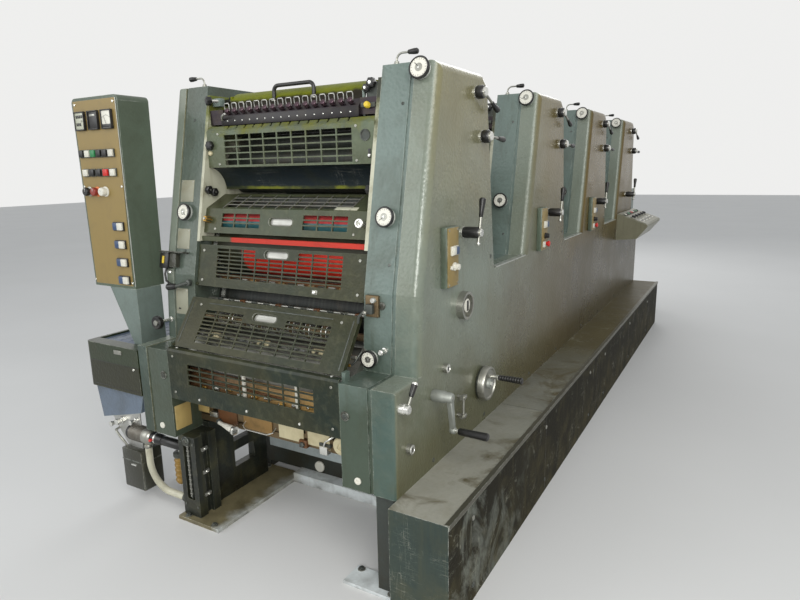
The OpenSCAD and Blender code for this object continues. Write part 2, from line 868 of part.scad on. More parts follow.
// Control console: tapered body with round top edges on a hopper-shaped foot
console_x = -frame_out - 106;
console_taper = 15;
console_y = first_y - 100;
pedestal_top = console_top - console_h;
module console_box() {
    r = 22;
    x0 = console_x - console_w;
    color([0.33, 0.38, 0.37])
        along_y(console_y + 3, console_y + console_d) {
            difference() {
                polygon([[x0, console_top], [console_x, console_top],
                         [console_x - console_taper, pedestal_top],
                         [x0 + console_taper, pedestal_top]]);
                translate([x0 - eps, console_top - r]) square([r + eps, r + eps]);
                translate([console_x - r, console_top - r]) square([r + eps, r + eps]);
            }
            for (x = [x0 + r, console_x - r])
                translate([x, console_top - r]) intersection() {
                    circle(r);
                    translate([-r, -1]) square([2 * r, 2 * r]);
                }
        }
}

panel_margin = 12;
module console_panel() {
    x0 = console_x - console_w;
    color([0.66, 0.59, 0.44])
        along_y(console_y, console_y + 3)
            polygon([[x0 + panel_margin, console_top - panel_margin],
                     [console_x - panel_margin, console_top - panel_margin],
                     [console_x - console_taper - panel_margin, pedestal_top + panel_margin],
                     [x0 + console_taper + panel_margin, pedestal_top + panel_margin]]);
}

// Meters, buttons, knobs and switches, by their distance from the panel's top left corner
module console_controls() {
    x0 = console_x - console_w;
    color([0.12, 0.12, 0.12])
        translate([x0, console_y, console_top]) {
            for (k = [0 : 2])
                translate([24 + k * 86, -12, -128]) cube([64, 12, 74]);
            for (k = [0 : 5])
                translate([26 + k * 38, -14, -236]) cube([32, 14, 32]);
            for (k = [0 : 4])
                translate([38 + k * 44, -14, -312]) cube([34, 14, 32]);
            for (k = [0 : 2])
                translate([58 + k * 52, 0, -372]) rotate([90, 0, 0]) cylinder(r = 21, h = 26);
            for (k = [0 : 3])
                translate([190, -16, -530 - k * 74]) cube([66, 16, 36]);
        }
}

module console_pedestal() {
    x1 = console_x - 8;
    color([0.33, 0.38, 0.37])
        along_y(console_y, console_y + 122)
            polygon([[x1 - 168, pedestal_top], [x1, pedestal_top],
                     [x1, housing_top - 10], [x1 - 46, housing_top - 10]]);
}

// Round position dials on the towers' front faces
dial_r = 35;
dial_h = 26;
module dial_on(x, i, z, r) {
    translate([x, unit_y(i) + front_at(z), z])
        rotate([90 - (z > notch_z ? lean_angle : foot_angle), 0, 0]) {
            cylinder(r = r - 6, h = dial_h);
            translate([0, 0, dial_h - 12]) cylinder(r = r, h = 12);
        }
}

top_dial = [561, tower_h - 28];
mid_dial = [477, 1253];
foot_dial = [442, 781];
module dials() {
    color([0.85, 0.84, 0.80]) {
        for (i = units) {
            dial_on(top_dial[0], i, top_dial[1], dial_r + 2);
            dial_on(mid_dial[0], i, mid_dial[1], dial_r);
        }
        dial_on(-mid_dial[0], 0, mid_dial[1], dial_r);
        dial_on(foot_dial[0], 0, foot_dial[1], dial_r - 4);
    }
}

// Raised switch plates on the operator's cover of every unit but the last, which has the desk
pod_y = [152, 244];
pod_z = [1006, 1216];
pod_t = 27;
module switch_pods() {
    color([0.66, 0.62, 0.50])
        for (i = [0 : unit_count - 2]) {
            y = unit_y(i);
            block([cover_x, y + pod_y[0], pod_z[0]], [cover_x + pod_t, y + pod_y[1], pod_z[1]]);
            block([cover_x + pod_t, y + pod_y[0] + 24, pod_z[0] + 112],
                  [cover_x + pod_t + 14, y + pod_y[0] + 74, pod_z[0] + 144]);
            rod_x(cover_x + pod_t, cover_x + pod_t + 22, y + pod_y[0] + 52, pod_z[0] + 72, 15);
        }
}

// Fixed fittings low on the first unit: sight ring, locks and the clamp screw
module operator_fittings() {
    color([0.62, 0.62, 0.58]) {
        difference() {
            rod_x(cover_x, cover_x + 26, first_y + 331, 914, 52);
            rod_x(cover_x + 10, cover_x + 26 + eps, first_y + 331, 914, 42);
        }
        rod_x(cover_x + 10, cover_x + 20, first_y + 331, 914, 26);
        for (at = [[180, 715], [-90, 520]])
            rod_x(cover_x, cover_x + 16, first_y + at[0], at[1], 17);
        for (z = [496, 570]) {
            rod_x(cover_x, cover_x + 26, first_y + 292, z, 7);
            translate([cover_x + 18, first_y + 292 - 20, z - 6]) cube([12, 40, 12]);
        }
        translate([cover_x + 24, first_y + 292, 496]) cylinder(r = 5, h = 74);
    }
}

// Sloping desk on the operator's side at the far end
desk_y = [last_y + 40, last_y + 715];
desk_out = 222;
module feeder_desk() {
    x0 = cover_x;
    x1 = cover_x + desk_out;
    color([0.32, 0.37, 0.38])
        along_y(desk_y[0], desk_y[1])
            polygon([[x0, 846], [x0 + 150, 860], [x1, 950], [x1, 968], [x0, 1046]]);
    color([0.80, 0.80, 0.76])
        along_y(desk_y[0] + 14, desk_y[1] - 14)
            polygon([[x0 + 10, 1047], [x1 - 8, 975], [x1 - 8, 971], [x0 + 10, 1042]]);
}

// Feeder behind the last unit: two side frames, boards and the suction head
feeder_l = 820;
feeder_h = 1180;
feeder_t = 36;
module feeder_frame() {
    color([0.36, 0.40, 0.39]) {
        both_sides()
            along_x(frame_in, frame_in + feeder_t)
                difference() {
                    polygon([[end_y, 0], [end_y, notch_z - 160], [end_y + 330, feeder_h],
                             [end_y + feeder_l, feeder_h], [end_y + feeder_l, 0]]);
                    translate([end_y + 160, 130]) square([feeder_l - 320, 440]);
                }
        block([-frame_in, end_y + feeder_l - 60, 40], [frame_in, end_y + feeder_l - 10, 120]);
        block([-frame_in, end_y + feeder_l - 90, feeder_h - 80],
              [frame_in, end_y + feeder_l - 40, feeder_h - 20]);
    }
}

module feeder_boards() {
    color([0.55, 0.57, 0.56]) {
        along_x(-frame_in, frame_in)
            polygon([[end_y - 50, 812], [end_y + 250, 880], [end_y + 250, 892], [end_y - 50, 824]]);
        block([-frame_in, end_y + 290, 300], [frame_in, end_y + feeder_l - 100, 336]);
    }
}

suction_z = 1060;
module suction_head() {
    y = end_y + 470;
    color([0.30, 0.32, 0.33]) {
        rod_x(-frame_in, frame_in, y, suction_z, 16);
        rod_x(-frame_in, frame_in, y + 130, suction_z, 16);
        block([-150, y - 40, suction_z - 30], [150, y + 170, suction_z + 70]);
        for (x = [-110, -40, 40, 110])
            translate([x, y + 10, suction_z - 120]) cylinder(r = 13, h = 90);
    }
}

// Throw lever: a thick black hub, a rod through its end and a tapered grip
throw_tilt = 14;
module throw_lever(i) {
    at = place(i, throw_at);
    x = cover_x + seat_gap;
    color([0.08, 0.08, 0.08]) {
        pivot_pin(at);
        rod_x(x, x + throw_hub_l, at[0], at[1], throw_hub_r);
        translate([x + throw_hub_l - 12, at[0], at[1]]) rotate([-throw_tilt, 0, 0]) {
            translate([0, 0, -46]) cylinder(r = 5, h = 46 + throw_arm_l * 0.5);
            translate([0, 0, throw_arm_l * 0.45])
                cylinder(r1 = 8, r2 = 12, h = throw_arm_l * 0.55);
        }
    }
}

// Small lever: hub, rod and grip, its arm turned down from level by an angle
module small_lever(at, down) {
    x = cover_x + seat_gap;
    color([0.08, 0.08, 0.08]) {
        pivot_pin(at);
        rod_x(x, x + small_hub_l, at[0], at[1], small_hub_r);
        translate([x + small_hub_l - 11, at[0], at[1]]) rotate([-90 - down, 0, 0]) {
            cylinder(r = 5, h = small_arm_l * 0.6);
            translate([0, 0, small_arm_l * 0.55])
                cylinder(r1 = 7, r2 = 11, h = small_arm_l * 0.45);
        }
    }
}

module upper_lever(i) {
    small_lever(place(i, upper_at), small_arm_down);
}

module lower_lever(i) {
    small_lever(place(i, lower_at), 3);
}

// Crank with its hub on the cover, an arm hanging down and a long grip
crank_arm = 128;
crank_grip_l = 112;
module crank() {
    at = place(0, crank_at);
    x = cover_x + seat_gap;
    color([0.60, 0.61, 0.60]) {
        pivot_pin(at);
        rod_x(x, x + 78, at[0], at[1], 21);
        translate([x + 56, at[0], at[1]]) rotate([10, 0, 0]) {
            translate([0, -11, -crank_arm]) cube([20, 22, crank_arm]);
            translate([0, 0, -crank_arm]) rotate([0, 90, 0]) {
                cylinder(r = 13, h = 20);
                translate([0, 0, 20]) cylinder(r = 8, h = 12);
                translate([0, 0, 30]) cylinder(r = 14, h = crank_grip_l);
            }
        }
    }
}

// Handwheel: a solid disc with a rim and a grip
wheel_r = 70;
module handwheel() {
    at = place(0, wheel_at);
    x = cover_x + seat_gap;
    color([0.58, 0.59, 0.58]) {
        pivot_pin(at);
        difference() {
            rod_x(x, x + 40, at[0], at[1], wheel_r);
            rod_x(x + 34, x + 40 + eps, at[0], at[1], wheel_r - 10);
        }
        rod_x(x + 30, x + 46, at[0], at[1], 20);
        translate([x + 30, at[0] + 44, at[1] + 16]) rotate([0, 90, 0]) {
            cylinder(r = 9, h = 26);
            translate([0, 0, 24]) cylinder(r1 = 10, r2 = 13, h = 108);
        }
    }
}

module front_lever() {
    at = place(0, front_lever_at);
    x = cover_x + seat_gap;
    color([0.55, 0.56, 0.55]) {
        pivot_pin(at);
        rod_x(x, x + 34, at[0], at[1], 18);
        translate([x + 24, at[0], at[1]]) rotate([-38, 0, 0]) {
            cylinder(r = 5, h = 50);
            translate([0, 0, 44]) cylinder(r1 = 8, r2 = 11, h = 48);
        }
    }
}

base_frame();
floor_plates();
operator_frame();
drive_frame();
operator_cover();
drive_cover();
edge_trims();
cross_ties();
drive_housing();
step_platform();
side_plates();
plate_cylinders();
blanket_cylinders();
sheet_drums();
ink_rollers();
ink_ducts();
ink_keys();
duct_covers();
duct_levers();
upper_guard();
splash_sheet();
middle_guard();
red_bar();
plate_guard();
lower_guard();
delivery_hood();
inner_guards();
rear_guards();
delivery_bars();
lift_column();
pump_unit();
drain_hose();
console_box();
console_panel();
console_controls();
console_pedestal();
dials();
switch_pods();
operator_fittings();
feeder_desk();
feeder_frame();
feeder_boards();
suction_head();
crank();
handwheel();
front_lever();
throw_lever(0);  // throw_lever_1
throw_lever(1);  // throw_lever_2
throw_lever(2);  // throw_lever_3
throw_lever(3);  // throw_lever_4
upper_lever(0);  // upper_lever_1
upper_lever(1);  // upper_lever_2
upper_lever(2);  // upper_lever_3
upper_lever(3);  // upper_lever_4
lower_lever(0);  // lower_lever_1
lower_lever(1);  // lower_lever_2
lower_lever(2);  // lower_lever_3
lower_lever(3);  // lower_lever_4
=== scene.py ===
"""Finish and small parts of a four-unit offset printing press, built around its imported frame.

Lengths are in metres, but for the profiles given with mm() or head(). X = 0 lies midway between the
side frames, +X is the operator's side, +Y runs from the delivery to the feeder, +Z is up, and the
origin is on the floor under the front floor beam.
"""

import json
import math

import bmesh
import bpy
from bpy.props import FloatProperty, FloatVectorProperty, IntProperty, PointerProperty
from bpy.types import Operator, Panel, PropertyGroup
from mathutils import Matrix, Vector


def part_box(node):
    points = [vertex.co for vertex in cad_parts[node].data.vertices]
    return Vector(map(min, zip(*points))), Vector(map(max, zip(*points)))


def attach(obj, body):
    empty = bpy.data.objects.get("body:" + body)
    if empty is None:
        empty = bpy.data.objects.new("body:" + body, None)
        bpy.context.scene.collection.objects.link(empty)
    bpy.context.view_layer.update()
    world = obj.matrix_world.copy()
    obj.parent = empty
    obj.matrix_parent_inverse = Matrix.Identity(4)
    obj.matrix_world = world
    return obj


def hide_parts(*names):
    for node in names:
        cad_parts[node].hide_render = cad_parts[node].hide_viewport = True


bl_info = {
    "name": "Offset printing press",
    "version": (1, 0, 0),
    "blender": (4, 5, 0),
    "location": "View3D > Sidebar > Press",
    "description": "Paints the packed press and adds its small parts",
    "category": "Object",
}

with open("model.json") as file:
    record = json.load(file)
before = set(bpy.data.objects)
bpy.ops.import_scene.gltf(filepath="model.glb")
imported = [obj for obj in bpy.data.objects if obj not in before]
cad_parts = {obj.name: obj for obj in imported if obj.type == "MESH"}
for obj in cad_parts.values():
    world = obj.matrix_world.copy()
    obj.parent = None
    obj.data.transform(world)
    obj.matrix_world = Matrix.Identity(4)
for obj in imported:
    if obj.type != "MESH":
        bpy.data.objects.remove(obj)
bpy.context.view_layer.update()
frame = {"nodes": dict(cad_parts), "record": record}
BOX = {node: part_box(node) for node in frame["nodes"]}
SLOT_OF = {part["node"]: part["material_slot"] for part in frame["record"]["subparts"]}
BODY = "press"

# Main places, read from the frame
UNITS = 4
COVER_X = BOX["operator_cover"][1].x
DRIVE_X = BOX["drive_cover"][0].x
FRAME_IN = BOX["operator_frame"][0].x
INNER_X = BOX["upper_guard"][1].x
TOWER_H = BOX["operator_cover"][1].z
CHEEK_Y = BOX["operator_cover"][0].y
END_Y = BOX["operator_cover"][1].y
NOTCH_Z = BOX["switch_pods"][0].z - 0.001
PITCH = BOX["throw_lever_2"][0].y - BOX["throw_lever_1"][0].y

# The first unit's front, the ledge over the delivery, and how a tower's front steps out and leans back
FRONT_Y = -0.330
LEDGE_Z = 0.735
FOOT_OUT = 0.020
LEAN = 0.154
TOWER_TILT = math.atan2(LEAN, TOWER_H - NOTCH_Z)
FOOT_TILT = math.atan2(FOOT_OUT, NOTCH_Z - LEDGE_Z)

# The seams of the housing on the drive side, and the top of the tank under it
HOUSING_SEAM = 0.631
LOW_SEAM = 0.526
TANK_TOP = 0.5117

# Directions: to the operator's side, out of the delivery end, and up
OUT = (1, 0, 0)
FACE = (0, -1, 0)
UP = (0, 0, 1)


def unit_y(unit):
    """Y of a unit's front at the low stretch, counted from 0."""
    return FRONT_Y + unit * PITCH


def front_at(z):
    """How far a tower's front face lies behind the unit's front at height z."""
    if z >= NOTCH_Z:
        return LEAN * (z - NOTCH_Z) / (TOWER_H - NOTCH_Z)
    return -FOOT_OUT * (NOTCH_Z - z) / (NOTCH_Z - LEDGE_Z)


def srgb(red, green, blue):
    """Linear colour with alpha from 8-bit display values."""
    parts = [value / 255 for value in (red, green, blue)]
    linear = [p / 12.92 if p <= 0.04045 else ((p + 0.055) / 1.055) ** 2.4 for p in parts]
    return (*linear, 1.0)


def rgba(colour):
    """A colour property as linear colour with alpha."""
    return (*colour[:3], 1.0)


class PressSizes(PropertyGroup):
    """Sizes of the small parts"""

    grip_length: FloatProperty(
        name="Grip length", description="Length of a lever's black grip",
        default=0.070, min=0.02, max=0.1, unit="LENGTH",
    )
    rod_radius: FloatProperty(
        name="Rod radius", description="Radius of a lever's steel rod",
        default=0.0056, min=0.003, max=0.008, unit="LENGTH",
    )
    screw_radius: FloatProperty(
        name="Screw radius", description="Radius of a cover screw's head",
        default=0.0085, min=0.003, max=0.012, unit="LENGTH",
    )
    dial_marks: IntProperty(
        name="Dial marks", description="Marks around a dial's face", default=20, min=4, max=60,
    )


def paint_colour(name, description, red, green, blue):
    """A colour property whose default is given in 8-bit display values."""
    return FloatVectorProperty(
        name=name, description=description, subtype="COLOR", size=3, min=0.0, max=1.0,
        default=srgb(red, green, blue)[:3],
    )


class PressColours(PropertyGroup):
    """Colours of the main finishes"""

    # The covers wear the frames' enamel; this colour is painted warmer and lighter, as painted warm light.
    cover: paint_colour("Cover paint", "Grey-green enamel of the outer covers", 116, 124, 112)
    frame: paint_colour("Frame paint", "Grey-green enamel of the side frames", 100, 114, 108)
    guard: paint_colour("Guard paint", "Oily enamel of the guards", 70, 78, 62)
    lid: paint_colour("Lid paint", "Yellow-green of the ink ducts' lids", 98, 104, 12)
    red: paint_colour("Red paint", "Red of the guard bar", 178, 44, 26)
    panel: paint_colour("Panel plates", "Beige of the switch panels", 134, 114, 64)
    step: paint_colour("Step paint", "Dark enamel of the step's sides", 52, 62, 58)


class Tree:
    """Places and joins the nodes of one shader tree."""

    def __init__(self, tree):
        self.tree = tree

    def add(self, kind, inputs=None, **settings):
        node = self.tree.nodes.new("ShaderNode" + kind)
        for key, value in settings.items():
            setattr(node, key, value)
        for key, value in (inputs or {}).items():
            if isinstance(value, bpy.types.NodeSocket):
                self.tree.links.new(value, node.inputs[key])
            else:
                node.inputs[key].default_value = value
        return node

    def join(self, value, socket):
        self.tree.links.new(value, socket)

    def math(self, operation, first, second=0.0, clamp=False):
        node = self.add("Math", {0: first, 1: second}, operation=operation, use_clamp=clamp)
        return node.outputs[0]

    def spread(self, value, low, high, to_low=0.0, to_high=1.0):
        node = self.add("MapRange", {"Value": value, "From Min": low, "From Max": high,
                                     "To Min": to_low, "To Max": to_high})
        return node.outputs["Result"]

    def blend(self, factor, first, second):
        node = self.add("Mix", data_type="RGBA")
        for socket, value in ((node.inputs[0], factor), (node.inputs[6], first),
                              (node.inputs[7], second)):
            if isinstance(value, bpy.types.NodeSocket):
                self.join(value, socket)
            else:
                socket.default_value = value
        return node.outputs[2]

    def noise(self, place, scale, detail=3.0, rough=0.55, warp=0.0):
        node = self.add("TexNoise", {"Vector": place, "Scale": scale, "Detail": detail,
                                     "Roughness": rough, "Distortion": warp})
        return node.outputs[0]

    def place(self, stretch=None):
        """Object coordinates, which are the press's own, stretched along each axis."""
        spot = self.add("TexCoord").outputs["Object"]
        if stretch is None:
            return spot
        return self.add("Mapping", {"Vector": spot, "Scale": stretch}).outputs[0]


def new_group(name, inputs, outputs):
    """A node group with named sockets: its tree, what comes in and what goes out."""
    group = bpy.data.node_groups.new(name, "ShaderNodeTree")
    for label, kind, default in inputs:
        group.interface.new_socket(name=label, in_out="INPUT", socket_type=kind).default_value = default
    for label, kind in outputs:
        group.interface.new_socket(name=label, in_out="OUTPUT", socket_type=kind)
    start = group.nodes.new("NodeGroupInput")
    end = group.nodes.new("NodeGroupOutput")
    return Tree(group), start.outputs, end.inputs


NUMBER = "NodeSocketFloat"
COLOUR = "NodeSocketColor"

# Tones that several finishes share
DUST = srgb(150, 146, 128)
BARE = srgb(170, 172, 166)
OLIVE = srgb(98, 100, 36)


def hammered_enamel():
    """Enamel with a dimpled skin and a slightly cloudy colour."""
    tree, given, out = new_group(
        "Hammered Enamel",
        [("Color", COLOUR, (0.2, 0.2, 0.2, 1)), ("Dimples", NUMBER, 95.0), ("Cloud", NUMBER, 0.12)],
        [("Color", COLOUR), ("Height", NUMBER), ("Shade", NUMBER)],
    )
    place = tree.place()
    cells = tree.add("TexVoronoi", {"Vector": place, "Scale": given["Dimples"], "Smoothness": 0.7},
                     feature="SMOOTH_F1").outputs["Distance"]
    fine = tree.noise(place, 240.0, 2.0)
    cloud = tree.noise(place, 2.6, 4.0)
    grain = tree.spread(cells, 0.15, 0.65, -0.5, 0.5)
    shade = tree.math("ADD", tree.math("MULTIPLY", grain, 0.35), tree.spread(cloud, 0.3, 0.7, -0.8, 0.8))
    level = tree.math("ADD", tree.math("MULTIPLY", shade, given["Cloud"]), 1.0)
    bright = tree.add("VectorMath", {0: given["Color"]}, operation="SCALE")
    tree.tree.links.new(level, bright.inputs["Scale"])
    tree.join(bright.outputs[0], out["Color"])
    tree.join(tree.math("ADD", cells, tree.math("MULTIPLY", fine, 0.25)), out["Height"])
    tree.join(tree.spread(cloud, 0.3, 0.7, 0.0, 1.0), out["Shade"])


def grime():
    """Dirt that lies in patches, runs down in streaks and gathers near the floor."""
    tree, given, out = new_group(
        "Grime",
        [("Amount", NUMBER, 0.5), ("Patches", NUMBER, 6.0), ("Streaks", NUMBER, 0.5),
         ("Floor Reach", NUMBER, 0.5), ("Shift", NUMBER, 0.0)],
        [("Mask", NUMBER)],
    )
    spot = tree.add("TexCoord").outputs["Object"]
    moved = tree.add("VectorMath", {0: spot}, operation="ADD")
    shift = tree.add("CombineXYZ", {"X": given["Shift"], "Y": given["Shift"]})
    tree.join(shift.outputs[0], moved.inputs[1])
    place = moved.outputs[0]
    patches = tree.spread(tree.noise(place, given["Patches"], 7.0, 0.62, 0.4), 0.50, 0.78)
    long_place = tree.add("Mapping", {"Vector": place, "Scale": (26.0, 26.0, 1.4)}).outputs[0]
    streaks = tree.spread(tree.noise(long_place, 1.0, 4.0, 0.6), 0.54, 0.80)
    height = tree.add("SeparateXYZ", {0: spot}).outputs["Z"]
    floor = tree.add("MapRange", {"Value": height, "From Min": given["Floor Reach"], "From Max": 0.0,
                                  "To Min": 0.0, "To Max": 0.9}).outputs["Result"]
    near_floor = tree.math("MULTIPLY", floor, tree.spread(tree.noise(place, 11.0, 6.0), 0.35, 0.65))
    run = tree.math("MULTIPLY", streaks, given["Streaks"])
    total = tree.math("ADD", tree.math("MAXIMUM", patches, run), near_floor, clamp=True)
    tree.join(tree.math("MULTIPLY", total, given["Amount"], clamp=True), out["Mask"])


def edge_wear():
    """Where a hard outer edge is rubbed, found from how far a rounded normal turns away."""
    tree, given, out = new_group(
        "Edge Wear",
        [("Width", NUMBER, 0.004), ("Amount", NUMBER, 0.7), ("Breaks", NUMBER, 30.0)],
        [("Mask", NUMBER)],
    )
    bevel = tree.add("Bevel", {"Radius": given["Width"]}, samples=4)
    face = tree.add("NewGeometry").outputs["True Normal"]
    same = tree.add("VectorMath", {0: bevel.outputs[0], 1: face}, operation="DOT_PRODUCT").outputs["Value"]
    edge = tree.spread(same, 0.985, 0.86)
    breaks = tree.spread(tree.noise(tree.place(), given["Breaks"], 5.0, 0.65), 0.42, 0.60)
    tree.join(tree.math("MULTIPLY", tree.math("MULTIPLY", edge, breaks), given["Amount"], clamp=True),
              out["Mask"])


def scuffs():
    """Thin scratches that lie two ways across a surface, between worn patches."""
    tree, given, out = new_group(
        "Scuffs",
        [("Amount", NUMBER, 0.5), ("Size", NUMBER, 1.0)],
        [("Mask", NUMBER)],
    )
    lines = None
    for turn, stretch in ((0.5, (2.2, 5.0, 60.0)), (-0.35, (48.0, 3.5, 2.5))):
        spot = tree.add("Mapping", {"Vector": tree.place(), "Rotation": (turn, turn * 0.6, turn),
                                    "Scale": stretch}).outputs[0]
        wave = tree.noise(spot, given["Size"], 3.0, 0.5, 1.2)
        line = tree.spread(tree.math("ABSOLUTE", tree.math("SUBTRACT", wave, 0.5)), 0.010, 0.002)
        lines = line if lines is None else tree.math("MAXIMUM", lines, line)
    patch = tree.spread(tree.noise(tree.place(), 7.0, 6.0, 0.7), 0.50, 0.72)
    tree.join(tree.math("MULTIPLY", tree.math("MULTIPLY", lines, patch), given["Amount"], clamp=True),
              out["Mask"])


def build_groups():
    hammered_enamel()
    grime()
    edge_wear()
    scuffs()


class Finish:
    """One material under way: its tree, its shader, and the colour, roughness and height so far."""

    def __init__(self, name, colour, rough=0.5, metal=0.0):
        self.material = bpy.data.materials.new(name)
        self.material.use_nodes = True
        self.tree = Tree(self.material.node_tree)
        self.shader = self.material.node_tree.nodes["Principled BSDF"]
        self.shader.inputs["Metallic"].default_value = metal
        self.colour = colour
        self.rough = rough
        self.height = None

    def group(self, name, **values):
        node = self.tree.tree.nodes.new("ShaderNodeGroup")
        node.node_tree = bpy.data.node_groups[name]
        for key, value in values.items():
            socket = node.inputs[key.replace("_", " ").title()]
            if isinstance(value, bpy.types.NodeSocket):
                self.tree.join(value, socket)
            else:
                socket.default_value = value
        return node

    def enamel(self, dimples=95.0, cloud=0.12, depth=0.35):
        node = self.group("Hammered Enamel", color=self.colour, dimples=dimples, cloud=cloud)
        self.colour = node.outputs["Color"]
        self.rough = self.tree.spread(node.outputs["Shade"], 0.0, 1.0, self.rough - 0.06, self.rough + 0.08)
        self.raise_by(node.outputs["Height"], depth)
        return self

    def raise_by(self, height, strength, distance=0.002):
        """Adds a bump to the surface, over the bumps so far."""
        bump = self.tree.add("Bump", {"Height": height, "Strength": strength, "Distance": distance})
        if self.height is not None:
            self.tree.join(self.height, bump.inputs["Normal"])
        self.height = bump.outputs[0]

    def cover(self, mask, colour, rough=None):
        """Lays another colour over the surface where the mask is."""
        self.colour = self.tree.blend(mask, self.colour, colour)
        if rough is not None:
            mix = self.tree.add("Mix", {0: mask, 2: self.rough, 3: rough}, data_type="FLOAT")
            self.rough = mix.outputs[0]
        return self

    def dirt(self, colour, amount=0.5, patches=6.0, streaks=0.5, floor_reach=0.01, shift=0.0, rough=0.7):
        mask = self.group("Grime", amount=amount, patches=patches, streaks=streaks, floor_reach=floor_reach,
                          shift=shift).outputs["Mask"]
        return self.cover(mask, colour, rough)

    def worn(self, colour, width=0.004, amount=0.7, breaks=30.0, rough=0.35):
        mask = self.group("Edge Wear", width=width, amount=amount, breaks=breaks).outputs["Mask"]
        return self.cover(mask, colour, rough)

    def scuffed(self, colour, amount=0.5, size=1.0, rough=0.6):
        node = self.group("Scuffs", amount=amount, size=size)
        return self.cover(node.outputs["Mask"], colour, rough)

    def gloss(self, coat, specular=0.35, rough=0.10):
        """A thin clear coat over the enamel, and how strongly the enamel itself shines."""
        if isinstance(coat, bpy.types.NodeSocket):
            self.tree.join(coat, self.shader.inputs["Coat Weight"])
        else:
            self.shader.inputs["Coat Weight"].default_value = coat
        self.shader.inputs["Coat Roughness"].default_value = rough
        self.shader.inputs["Specular IOR Level"].default_value = specular
        return self

    def done(self):
        inputs = self.shader.inputs
        for value, socket in ((self.colour, inputs["Base Color"]), (self.rough, inputs["Roughness"]),
                              (self.height, inputs["Normal"])):
            if isinstance(value, bpy.types.NodeSocket):
                self.tree.join(value, socket)
            elif value is not None:
                socket.default_value = value
        return self.material


def zone(finish, axis, low, high, ragged=0.06, scale=9.0):
    """A mask that grows along an axis from low to high, with a ragged border."""
    tree = finish.tree
    along = tree.add("SeparateXYZ", {0: tree.place()}).outputs[axis]
    loose = tree.spread(tree.noise(tree.place(), scale, 6.0, 0.65), 0.3, 0.7, -ragged, ragged)
    return tree.spread(tree.math("ADD", along, loose), low, high)


def facing(finish, axis, low=0.45, high=0.8):
    """A mask of the faces that look along an axis."""
    tree = finish.tree
    along = tree.add("SeparateXYZ", {0: tree.add("NewGeometry").outputs["Normal"]}).outputs[axis]
    return tree.spread(along, low, high)


def cover_paint(colours):
    """Enamel of the outer covers: blue-green in front, and along the side warmer, browner and duller in
    painted warm light.
    """
    skin = Finish("Cover enamel and painted light", rgba(colours.cover), 0.27, 0.05)
    tree = skin.tree
    side = facing(skin, "X")
    # Painted warm light on the side faces, warmer high up; the side is also darker low down.
    skin.cover(tree.math("MULTIPLY", side, zone(skin, "Z", 1.05, 1.65, 0.15, 2.0)), srgb(122, 118, 88))
    skin.cover(tree.math("MULTIPLY", side, zone(skin, "Z", 0.95, 0.50, 0.12, 3.0)), srgb(90, 90, 66))
    # Towards the feeder the side turns brown in painted warm light, darker low down.
    far = tree.math("MULTIPLY", side, zone(skin, "Y", 0.1, 1.7, 0.25, 2.0))
    skin.cover(far, srgb(96, 80, 36))
    skin.cover(tree.math("MULTIPLY", far, zone(skin, "Z", 1.15, 0.85, 0.12, 3.0)), srgb(66, 56, 26))
    front = tree.math("MULTIPLY", facing(skin, "Y", -0.45, -0.8), zone(skin, "Z", 1.0, 0.60, 0.12, 5.0))
    skin.cover(front, srgb(62, 82, 76))
    skin.cover(tree.math("MULTIPLY", front, zone(skin, "X", -0.2, -0.4)), srgb(46, 60, 52))
    skin.enamel(90.0, 0.12, 0.42)
    skin.dirt(srgb(84, 80, 56), 0.45, 3.2, 0.5, 0.7, 3.0, 0.45)
    skin.dirt(DUST, 0.10, 14.0, 0.1, 0.01, 9.0, 0.7)
    return skin.gloss(tree.spread(far, 0.0, 1.0, 0.16, 0.0)).worn(srgb(176, 180, 168), 0.005, 0.75).done()


def frame_paint(colours):
    """Enamel of the side frames, darker low down and on the drive side, with olive oil runs."""
    skin = Finish("Frame enamel", rgba(colours.frame), 0.32, 0.05)
    skin.cover(zone(skin, "Z", 0.95, 0.60, 0.10, 6.0), srgb(62, 74, 62))
    skin.cover(skin.tree.math("MULTIPLY", zone(skin, "X", -0.2, -0.4), 0.7), srgb(66, 74, 62))
    skin.enamel(84.0, 0.14, 0.5)
    skin.dirt(srgb(56, 56, 36), 0.55, 5.0, 0.9, 0.6, 1.0, 0.45)
    return skin.gloss(0.12).worn(srgb(160, 166, 156), 0.004, 0.7).done()


def guard_paint(name, colour, stain=0.6, top=None, shift=0.0):
    """Oily enamel of a guard, worn bright on its bars, olive with ink above the height top. Some guards get
    their colour painted lighter or darker, as painted light and shade.
    """
    skin = Finish(name, colour, 0.34, 0.05)
    tree = skin.tree
    clouds = tree.spread(tree.noise(tree.place(), 2.3, 5.0, 0.6), 0.38, 0.62, 0.0, 0.55)
    skin.cover(clouds, srgb(60, 56, 30))
    skin.enamel(110.0, 0.16, 0.3)
    skin.dirt(srgb(40, 38, 20), stain, 9.0, 0.9, 0.01, shift, 0.35)
    if top is not None:
        skin.cover(zone(skin, "Z", top - 0.03, top + 0.03, 0.05, 16.0), OLIVE, 0.5)
    skin.dirt(srgb(150, 148, 116), 0.12, 30.0, 0.2, 0.01, shift + 5.0, 0.75)
    return skin.gloss(0.05, 0.25).worn(srgb(112, 114, 92), 0.003, 0.65, 40.0).done()


def splash_paint():
    """Dark blue-grey splash sheet with scratches and an ink line at its lip."""
    skin = Finish("Splash enamel", srgb(20, 30, 34), 0.42).enamel(110.0, 0.12, 0.25)
    tree = skin.tree
    skin.dirt(srgb(40, 44, 24), 0.5, 12.0, 0.6, 0.01, 2.0, 0.5)
    skin.scuffed(srgb(150, 150, 140), 0.5, 1.0)
    lip = tree.math("MULTIPLY", zone(skin, "Z", 1.356, 1.350, 0.003, 24.0),
                    tree.spread(tree.noise(tree.place(), 7.0, 3.0), 0.48, 0.62, 0.1, 0.9))
    skin.cover(lip, srgb(112, 116, 30), 0.5)
    return skin.gloss(0.0, 0.25).worn(OLIVE, 0.004, 0.8).done()


